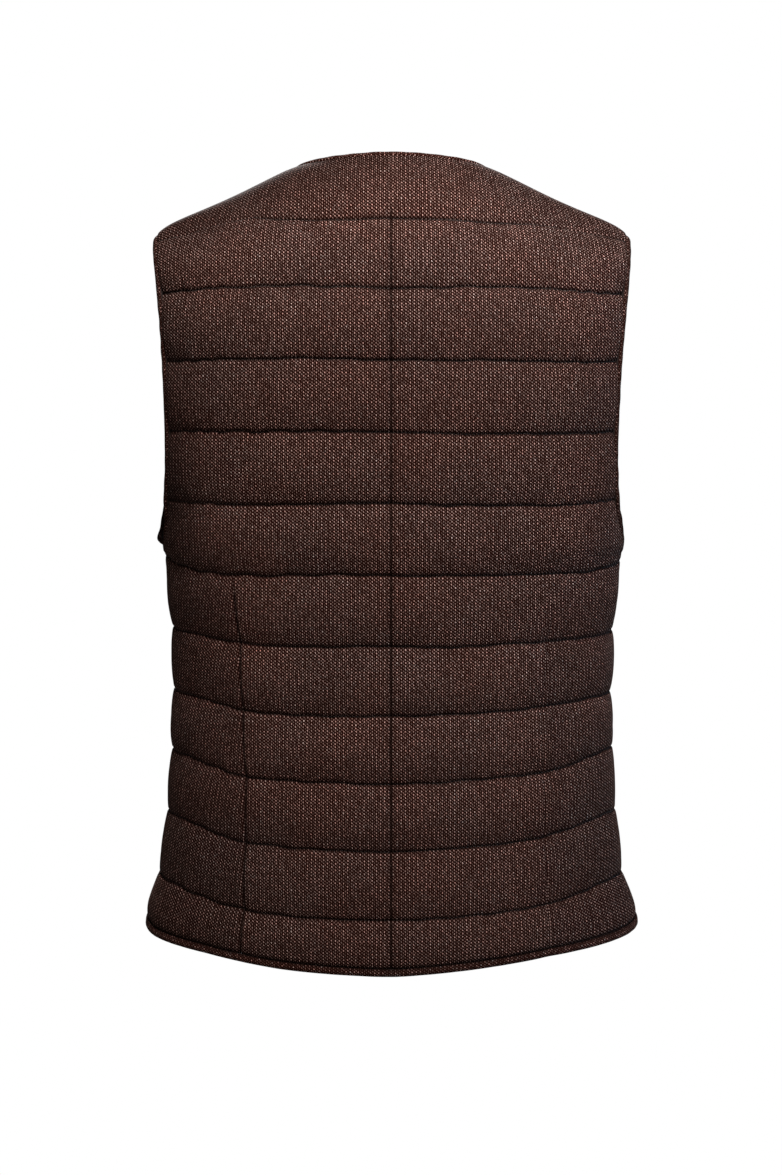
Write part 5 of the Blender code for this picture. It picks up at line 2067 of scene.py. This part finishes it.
@dataclass(frozen=True)
class HornFinish:
    """Polished dark horn with streaks."""

    name: str = "dark_horn"
    dark: Colour = (0.0160, 0.0085, 0.0055)
    light: Colour = (0.0850, 0.0480, 0.0280)
    roughness: float = 0.30

    def make(self) -> bpy.types.Material:
        """Make the material."""
        material, kit, shader = fresh_material(self.name, self.dark)
        place = kit.add("TexCoord").outputs["Object"]
        stretched = kit.vector("MULTIPLY", place, (1.0, 1.0, 4.5))
        streaks = kit.noise(stretched, 90.0, 4.0, 0.65)
        fine = kit.noise(place, 900.0, 3.0, 0.6)
        kit.put(shader.inputs["Base Color"],
                kit.mix(kit.ramp(streaks, 0.42, 0.72), self.dark, self.light))
        kit.put(shader.inputs["Roughness"], kit.ramp(fine, 0.3, 0.7, self.roughness - 0.06,
                                                     self.roughness + 0.10))
        shader.inputs["Coat Weight"].default_value = 0.25
        shader.inputs["Coat Roughness"].default_value = 0.2
        bump = kit.add("Bump", {"Strength": 0.15, "Distance": 0.1 * MM, "Height": fine})
        kit.put(shader.inputs["Normal"], bump.outputs["Normal"])
        return material


@dataclass(frozen=True)
class FloorFinish:
    """Matt pale studio floor, washed out to white where it is looked at."""

    name: str = "studio_floor"
    colour: Colour = (0.30, 0.29, 0.28)
    glow: float = 1.0

    def make(self) -> bpy.types.Material:
        """Make the material."""
        material, kit, shader = fresh_material(self.name, self.colour)
        grain = kit.noise(kit.add("TexCoord").outputs["Object"], 6.0, 2.0)
        low = tuple(0.97 * part for part in self.colour)
        kit.put(shader.inputs["Base Color"], kit.mix(grain, low, self.colour))
        shader.inputs["Roughness"].default_value = 0.9
        glow = kit.add("Emission", {"Color": (1.0, 1.0, 1.0), "Strength": self.glow})
        seen = kit.add("LightPath").outputs["Is Camera Ray"]
        both = kit.add("MixShader", {0: seen, 1: shader.outputs[0], 2: glow.outputs[0]})
        end = material.node_tree.nodes["Material Output"]
        kit.put(end.inputs["Surface"], both.outputs[0])
        return material


# ---- Buttons ----


@dataclass(frozen=True)
class ButtonSeat:
    """Where one button lies: its turn in space, its point on the cloth and its lift."""

    turn: np.ndarray
    point: np.ndarray
    lift: np.ndarray

    def place(self, points: np.ndarray) -> np.ndarray:
        """Points of a button that is modelled flat, moved to its seat."""
        return points @ self.turn.T + self.point + self.lift


@dataclass
class ButtonRow:
    """Horn buttons on the centre line of the left front, sewn on through four holes."""

    count: int = 5
    top_height: float = -0.252
    spacing: float = 0.080
    radius: float = 0.0085
    thickness: float = 0.0032
    rim: float = 0.0016
    dish: float = 0.0009
    rounding: float = 0.0007
    clearance: float = 0.0010
    sides: int = 56
    hole_radius: float = 0.0009
    hole_offset: float = 0.0019
    hole_sides: int = 16
    peg_length: float = 0.02
    sharp: float = 42
    thread_radius: float = 0.00034
    thread_sides: int = 6
    thread_steps: int = 13
    strand_gap: float = 0.00052
    strand_drop: float = 0.00012
    strand_rise: float = 0.00045
    strand_overhang: float = 0.0002
    strand_clearance: float = 0.0002
    strand_sink: float = 0.0011

    def profile(self) -> np.ndarray:
        """Radius and rise round the button's cross section, from its back to its middle."""
        r, t, e = self.radius, self.thickness, self.rounding
        turns = np.linspace(0.0, math.pi / 2, 5)
        back = [(r - e + e * math.sin(a), e - e * math.cos(a)) for a in turns]
        front = [(r - e + e * math.cos(a), t - e + e * math.sin(a)) for a in turns]
        bowl = r - self.rim
        slope = [(bowl, t - 0.05 * self.dish), (bowl - 0.0004, t - 0.35 * self.dish),
                 (bowl - 0.0010, t - 0.85 * self.dish), (bowl - 0.0017, t - self.dish)]
        inner = [(0.0040, t - self.dish), (0.0016, t - self.dish)]
        return np.array([(0.0016, 0.0), (0.0045, 0.0)] + back + front + slope + inner)

    def build(self, pattern: Pattern, horn: bpy.types.Material,
              thread: bpy.types.Material) -> list[bpy.types.Object]:
        """Make every button and its thread.

        Args:
            pattern: the vest's pattern.
            horn: the buttons' finish.
            thread: the thread's finish.

        Returns:
            The new pieces.
        """
        sheet = pattern.sheets[Side.FRONT]
        made = []
        for number in range(self.count):
            height = self.top_height - number * self.spacing
            level = float(sheet.level_at(height))
            point, normal = sheet.at(0.0, level)
            tilt = math.atan2(normal[2], -normal[1])
            turn = np.array(((1, 0, 0), (0, 0, -1), (0, 1, 0)), float)
            pitch = np.array(((1, 0, 0), (0, math.cos(tilt), math.sin(tilt)),
                              (0, -math.sin(tilt), math.cos(tilt))))
            seat = ButtonSeat(pitch @ turn, point, normal * self.clearance)
            button = self._disc(f"button_{number + 1}_turned", seat, horn)
            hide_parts(f"button_{number + 1}")
            made += [button, self._thread(f"button_{number + 1}_thread", seat, thread)]
        return made

    def _disc(self, name: str, seat: ButtonSeat, horn: bpy.types.Material) -> bpy.types.Object:
        """One button, with its thread holes cut through.

        Args:
            name: the piece's name.
            seat: where it lies.
            horn: its finish.

        Returns:
            The button.
        """
        profile = self.profile()
        turns = np.arange(self.sides) * 2 * math.pi / self.sides
        rings = np.stack([
            profile[:, 0][:, None] * np.cos(turns),
            profile[:, 0][:, None] * np.sin(turns),
            np.broadcast_to(profile[:, 1][:, None], (len(profile), self.sides)),
        ], axis=-1)
        faces = grid_faces(len(profile), self.sides, closed=True).tolist()
        last = (len(profile) - 1) * self.sides
        faces += [list(range(self.sides))[::-1], [last + k for k in range(self.sides)]]
        mesh = bpy.data.meshes.new(name)
        mesh.from_pydata(rings.reshape(-1, 3).tolist(), [], faces)
        mesh.update()
        disc = bpy.data.objects.new(name, mesh)
        bpy.context.scene.collection.objects.link(disc)
        pegs = []
        for k in range(4):
            turn = math.pi / 4 + k * math.pi / 2
            bpy.ops.mesh.primitive_cylinder_add(
                vertices=self.hole_sides, radius=self.hole_radius, depth=self.peg_length,
                location=(self.hole_offset * math.cos(turn), self.hole_offset * math.sin(turn), 0))
            peg = bpy.context.object
            cut = disc.modifiers.new("hole", "BOOLEAN")
            cut.operation = "DIFFERENCE"
            cut.solver = "EXACT"
            cut.object = peg
            pegs.append(peg)
        bpy.context.view_layer.update()
        shaped = bpy.data.meshes.new_from_object(
            disc.evaluated_get(bpy.context.evaluated_depsgraph_get()))
        disc.modifiers.clear()
        disc.data = shaped
        shaped.name = name
        for peg in pegs:
            bpy.data.objects.remove(peg)
        points = np.array([v.co for v in shaped.vertices])
        shaped.vertices.foreach_set("co", seat.place(points).astype(np.float32).ravel())
        shaped.update()
        shaped.materials.clear()
        shaped.materials.append(horn)
        shaped.shade_smooth()
        shaped.set_sharp_from_angle(angle=math.radians(self.sharp))
        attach(disc, ROOT)
        return disc

    def _thread(self, name: str, seat: ButtonSeat,
                finish: bpy.types.Material) -> bpy.types.Object:
        """Two bars of three strands each, through the four holes.

        Args:
            name: the piece's name.
            seat: where the button lies.
            finish: the thread's finish.

        Returns:
            The thread.
        """
        points, faces, count = [], [], 0
        offset = self.hole_offset * math.sqrt(0.5)
        face_height = self.thickness - self.dish
        sides, steps = self.thread_sides, self.thread_steps
        turns = np.arange(sides) * 2 * math.pi / sides
        last = (steps - 1) * sides
        start_cap = np.array([[3, 2, 1, 0], [5, 4, 3, 0]])
        end_cap = last + np.array([[0, 1, 2, 3], [0, 3, 4, 5]])
        for bar in (-offset, offset):
            for strand in (-1, 0, 1):
                share = np.linspace(-1, 1, steps)
                x = share * (offset + self.strand_overhang)
                rise = (face_height + self.strand_clearance
                        + self.strand_rise * np.clip(1 - share ** 4, 0, 1))
                rise = np.where(np.abs(share) > 0.9, face_height - self.strand_sink, rise)
                y = np.full_like(x, bar + strand * self.strand_gap)
                rise = rise - self.strand_drop * abs(strand)
                middle = np.stack([x, y, rise], axis=1)
                tangent = unit(np.gradient(middle, axis=0))
                beside = np.array((0.0, 1.0, 0.0))
                above = unit(np.cross(tangent, beside))
                ring = (np.cos(turns)[None, :, None] * beside
                        + np.sin(turns)[None, :, None] * above[:, None])
                points.append((middle[:, None] + ring * self.thread_radius).reshape(-1, 3))
                own = grid_faces(steps, sides, closed=True)
                faces.append(np.concatenate([own, start_cap, end_cap]) + count)
                count += steps * sides
        points, faces = seat.place(np.concatenate(points)), np.concatenate(faces)
        parts = MeshParts(points=points, faces=faces, cloth=np.zeros((len(faces), 4, 2)),
                          finish=np.zeros(len(faces)))
        return parts.build(name, (finish,))


# ---- Studio ----


@dataclass(frozen=True)
class Lamp:
    """One soft area light."""

    name: str
    place: tuple[float, float, float]
    aim: tuple[float, float, float]
    size: float
    power: float
    colour: Colour = (1.0, 1.0, 1.0)

    def make(self) -> None:
        """Hang the light and turn it to its aim."""
        light = bpy.data.lights.new(self.name, "AREA")
        light.shape = "SQUARE"
        light.size = self.size
        light.energy = self.power
        light.color = self.colour
        obj = bpy.data.objects.new(self.name, light)
        bpy.context.scene.collection.objects.link(obj)
        obj.location = self.place
        reach = [a - b for a, b in zip(self.aim, self.place)]
        flat = math.hypot(reach[0], reach[1])
        obj.rotation_euler = (math.atan2(flat, -reach[2]), 0.0,
                              math.atan2(reach[1], reach[0]) - math.pi / 2)


@dataclass
class Studio:
    """The floor, the lights and the camera."""

    camera_place: tuple[float, float, float] = (0.0, 1.45, -0.16654)
    camera_pitch: float = 6.2
    lens: float = 52.85
    floor_height: float = -1.45
    floor_reach: float = 14.0
    floor_lines: int = 9
    world_light: float = 0.032
    lamps: tuple[Lamp, ...] = (
        Lamp("key", (-0.22, 0.90, 0.97), (0.0, 0.0, -0.18), 0.55, 34.0, (1.0, 0.95, 0.92)),
        Lamp("fill", (0.15, 2.30, 0.50), (0.0, 0.0, -0.30), 1.0, 7.0, (1.0, 0.82, 0.72)),
        Lamp("edge", (-1.8, 0.40, -0.20), (0.0, 0.0, -0.40), 0.8, 9.0, (0.42, 0.72, 1.0)),
        Lamp("front", (0.25, -2.6, 1.1), (0.0, 0.0, -0.30), 0.8, 95.0),
    )

    def build(self) -> None:
        """Set up everything that isn't the vest."""
        scene = bpy.context.scene
        scene.view_settings.view_transform = "Standard"
        camera = bpy.data.cameras.new("camera")
        camera.sensor_fit = "VERTICAL"
        camera.sensor_height = 36.0
        camera.lens = self.lens
        holder = bpy.data.objects.new("camera", camera)
        scene.collection.objects.link(holder)
        holder.location = self.camera_place
        holder.rotation_euler = (math.radians(90 - self.camera_pitch), 0.0, math.pi)
        scene.camera = holder
        for lamp in self.lamps:
            lamp.make()
        self._world(scene)
        self._floor()

    def _world(self, scene: bpy.types.Scene) -> None:
        """Even pale surroundings, brighter to look at than they are as a light."""
        world = bpy.data.worlds.new("studio")
        scene.world = world
        world.use_nodes = True
        kit = Nodes(world.node_tree)
        seen = kit.add("LightPath").outputs["Is Camera Ray"]
        strength = kit.ramp(seen, 0.0, 1.0, self.world_light, 1.0)
        background = world.node_tree.nodes["Background"]
        kit.put(background.inputs["Color"], (1.0, 1.0, 1.0))
        kit.put(background.inputs["Strength"], strength)

    def _floor(self) -> None:
        """A wide pale floor."""
        steps = np.linspace(-self.floor_reach, self.floor_reach, self.floor_lines)
        x, y = np.meshgrid(steps, steps)
        points = np.stack([x.ravel(), y.ravel(), np.full(x.size, self.floor_height)], axis=1)
        mesh = bpy.data.meshes.new("floor")
        mesh.from_pydata(points.tolist(), [], grid_faces(self.floor_lines, self.floor_lines).tolist())
        mesh.update()
        floor = bpy.data.objects.new("floor", mesh)
        bpy.context.scene.collection.objects.link(floor)
        mesh.materials.append(FloorFinish().make())


# ---- The vest ----


@dataclass
class Vest:
    """All the pieces of the vest, built in order."""

    form: VestForm = field(default_factory=VestForm)
    quilting: Quilting = field(default_factory=Quilting)
    stitch: StitchRow = field(default_factory=StitchRow)
    welt_step: float = 0.0026
    welt_seed: int = 60
    # Painted shade of each kind of welt in its seam, and where it rolls over.
    welt_shades: dict[str, tuple[float, float]] = field(default_factory=lambda: {
        "hem": (1.0, 0.0), "neck": (0.12, 0.0), "armhole": (0.40, 0.80)})
    # How much taller the hem's welt is at the side seam.
    hem_corner: float = 0.22
    panels: dict[tuple[Side, Half], Panel] = field(default_factory=dict)

    def build(self) -> None:
        """Make every piece, and log its faces and the panels' cut sizes."""
        self.pattern = Pattern(self.form)
        self.wool = WoolFinish("quilted_wool").make()
        self.welt_wool = WoolFinish("welt_wool", yarn=(0.230, 0.146, 0.124)).make()
        self.backing = BackingFinish().make()
        self.thread = ThreadFinish().make()
        panels = {
            "back_left": (Side.BACK, Half.LEFT, 11, 2.1 * MM, 0.12),
            "back_right": (Side.BACK, Half.RIGHT, 23, 0.55 * MM, 0.03),
            "front_left": (Side.FRONT, Half.LEFT, 37, 0.0, 0.0),
            "front_right": (Side.FRONT, Half.RIGHT, 41, 0.0, 0.0),
        }
        pieces = {}
        for name, (side, half, seed, dart, tilt) in panels.items():
            panel = Panel(name, self.pattern, side, half, self.quilting, seed, dart, tilt)
            self.panels[side, half] = panel
            pieces[name] = (panel, panel.build(self.wool, self.backing), self._stitches(panel))
            log.info("%s: %d faces", name, len(pieces[name][1].data.polygons))
        welts = self._welts()
        for name, (panel, obj, stitches) in pieces.items():
            width, length, area = panel.flat_size()
            log.info("%s: cut %.3f x %.3f m, %.4f square metres", name, width, length, area)
        buttons = ButtonRow().build(self.pattern, HornFinish().make(), self.thread)
        for piece in buttons:
            log.info("%s: %d faces", piece.name, len(piece.data.polygons))

    def _stitches(self, panel: Panel) -> bpy.types.Object:
        """The stitches in a panel's sewn lines."""
        lines = [(panel.outer[row], panel.normals[row]) for row in panel.sewn]
        piece = stitch_piece(f"{panel.name}_quilt_stitches", lines, self.stitch, self.thread)
        log.info("%s: %d faces", piece.name, len(piece.data.polygons))
        return piece

    def _steps(self, length: float) -> np.ndarray:
        """Even lengths along an edge."""
        return np.linspace(0.0, length, max(3, int(length / self.welt_step)))

    def _welts(self) -> dict[str, bpy.types.Object]:
        """Every welt, by name."""
        runs = [self._armhole(half) for half in Half] + [self._neck()] + self._hems()
        made = {}
        for index, (name, line, closed) in enumerate(runs):
            # Painted shade in the welt's seam, and where it rolls over.
            shade, roll = self.welt_shades[name.split("_")[0]]
            obj = Welt(f"{name}_edge", line, closed, self.welt_seed + index, seam_painted_shade=shade,
                       roll_painted_shade=roll).build(self.welt_wool, self.backing)
            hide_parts(name)
            made[obj.name] = obj
            log.info("%s: %d faces", obj.name, len(obj.data.polygons))
        return made

    def _armhole(self, half: Half) -> tuple[str, WeltLine, bool]:
        """Round one armhole: up the front, over the shoulder and down the back."""
        runs = []
        for side in (Side.FRONT, Side.BACK):
            edge = self.pattern.armholes[side]
            inner, outer = edge.places(self._steps(edge.length[-1]))
            sheet = self.pattern.sheets[side]
            inner[:, 0] = np.minimum(inner[:, 0], sheet.side_length(inner[:, 1]))
            line = WeltLine.on_sheet(sheet, inner, outer, half, flare=True)
            runs.append(line)
        back = runs[1].reversed()
        back = WeltLine(back.inner[1:-1], back.outer[1:-1], back.inner_normal[1:-1],
                        back.outer_normal[1:-1])
        name = f"armhole_welt_{half.name.lower()}"
        return name, WeltLine.joined([runs[0], back]), True

    def _neck(self) -> tuple[str, WeltLine, bool]:
        """Up the left front edge, round the neck and down the right front edge."""
        pattern = self.pattern
        front, back = pattern.sheets[Side.FRONT], pattern.sheets[Side.BACK]
        edge, neck = pattern.front_edge, pattern.neck
        up = edge.places(self._steps(edge.length[-1]))
        round_neck = neck.places(self._steps(neck.length[-1]))
        round_neck[0][0, 0] = 0.0
        left = WeltLine.on_sheet(front, *up, Half.LEFT)
        right = WeltLine.on_sheet(front, *up, Half.RIGHT).reversed()
        back_left = WeltLine.on_sheet(back, round_neck[0][:-1], round_neck[1][:-1], Half.LEFT)
        back_right = WeltLine.on_sheet(back, round_neck[0][1:-1], round_neck[1][1:-1], Half.RIGHT)
        line = WeltLine.joined([left, back_left.reversed(), back_right, right])
        return "neck_welt", line, False

    def _hems(self) -> list[tuple[str, WeltLine, bool]]:
        """The hem of the back, and of each front."""
        made = []
        backs = [self._hem_line(Side.BACK, half) for half in (Half.LEFT, Half.RIGHT)]
        right = backs[1]
        right = WeltLine(right.inner[1:], right.outer[1:], right.inner_normal[1:],
                         right.outer_normal[1:])
        made.append(("hem_welt_back", WeltLine.joined([backs[0].reversed(), right]), False))
        for half in Half:
            made.append((f"hem_welt_front_{half.name.lower()}",
                         self._hem_line(Side.FRONT, half), False))
        return made

    def _hem_line(self, side: Side, half: Half) -> WeltLine:
        """One half of the hem, from the centre or the front edge to the side seam.

        Args:
            side: front or back.
            half: the wearer's left or right.

        Returns:
            The run of the welt.
        """
        panel = self.panels[side, half]
        across, level = panel.across[0], panel.level[0]
        inner = np.stack([across, level], axis=1)
        taller = 1 + self.hem_corner * (across / across.max()) ** 3
        outer = np.stack([across, level - self.form.welt * taller], axis=1)
        line = WeltLine.on_sheet(self.pattern.sheets[side], inner, outer, half, flare=True)
        line.inner[-1, 1] = line.outer[-1, 1] = 0.0  # the strips meet in the side seam
        return line


def main() -> None:
    """Build the studio and the vest, and log each piece."""
    logging.basicConfig(level=logging.INFO, format="%(name)s %(message)s")
    bpy.context.scene.frame_set(1)
    Studio().build()
    log.info("studio is up")
    Vest().build()
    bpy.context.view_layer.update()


if __name__ == "__main__":
    main()
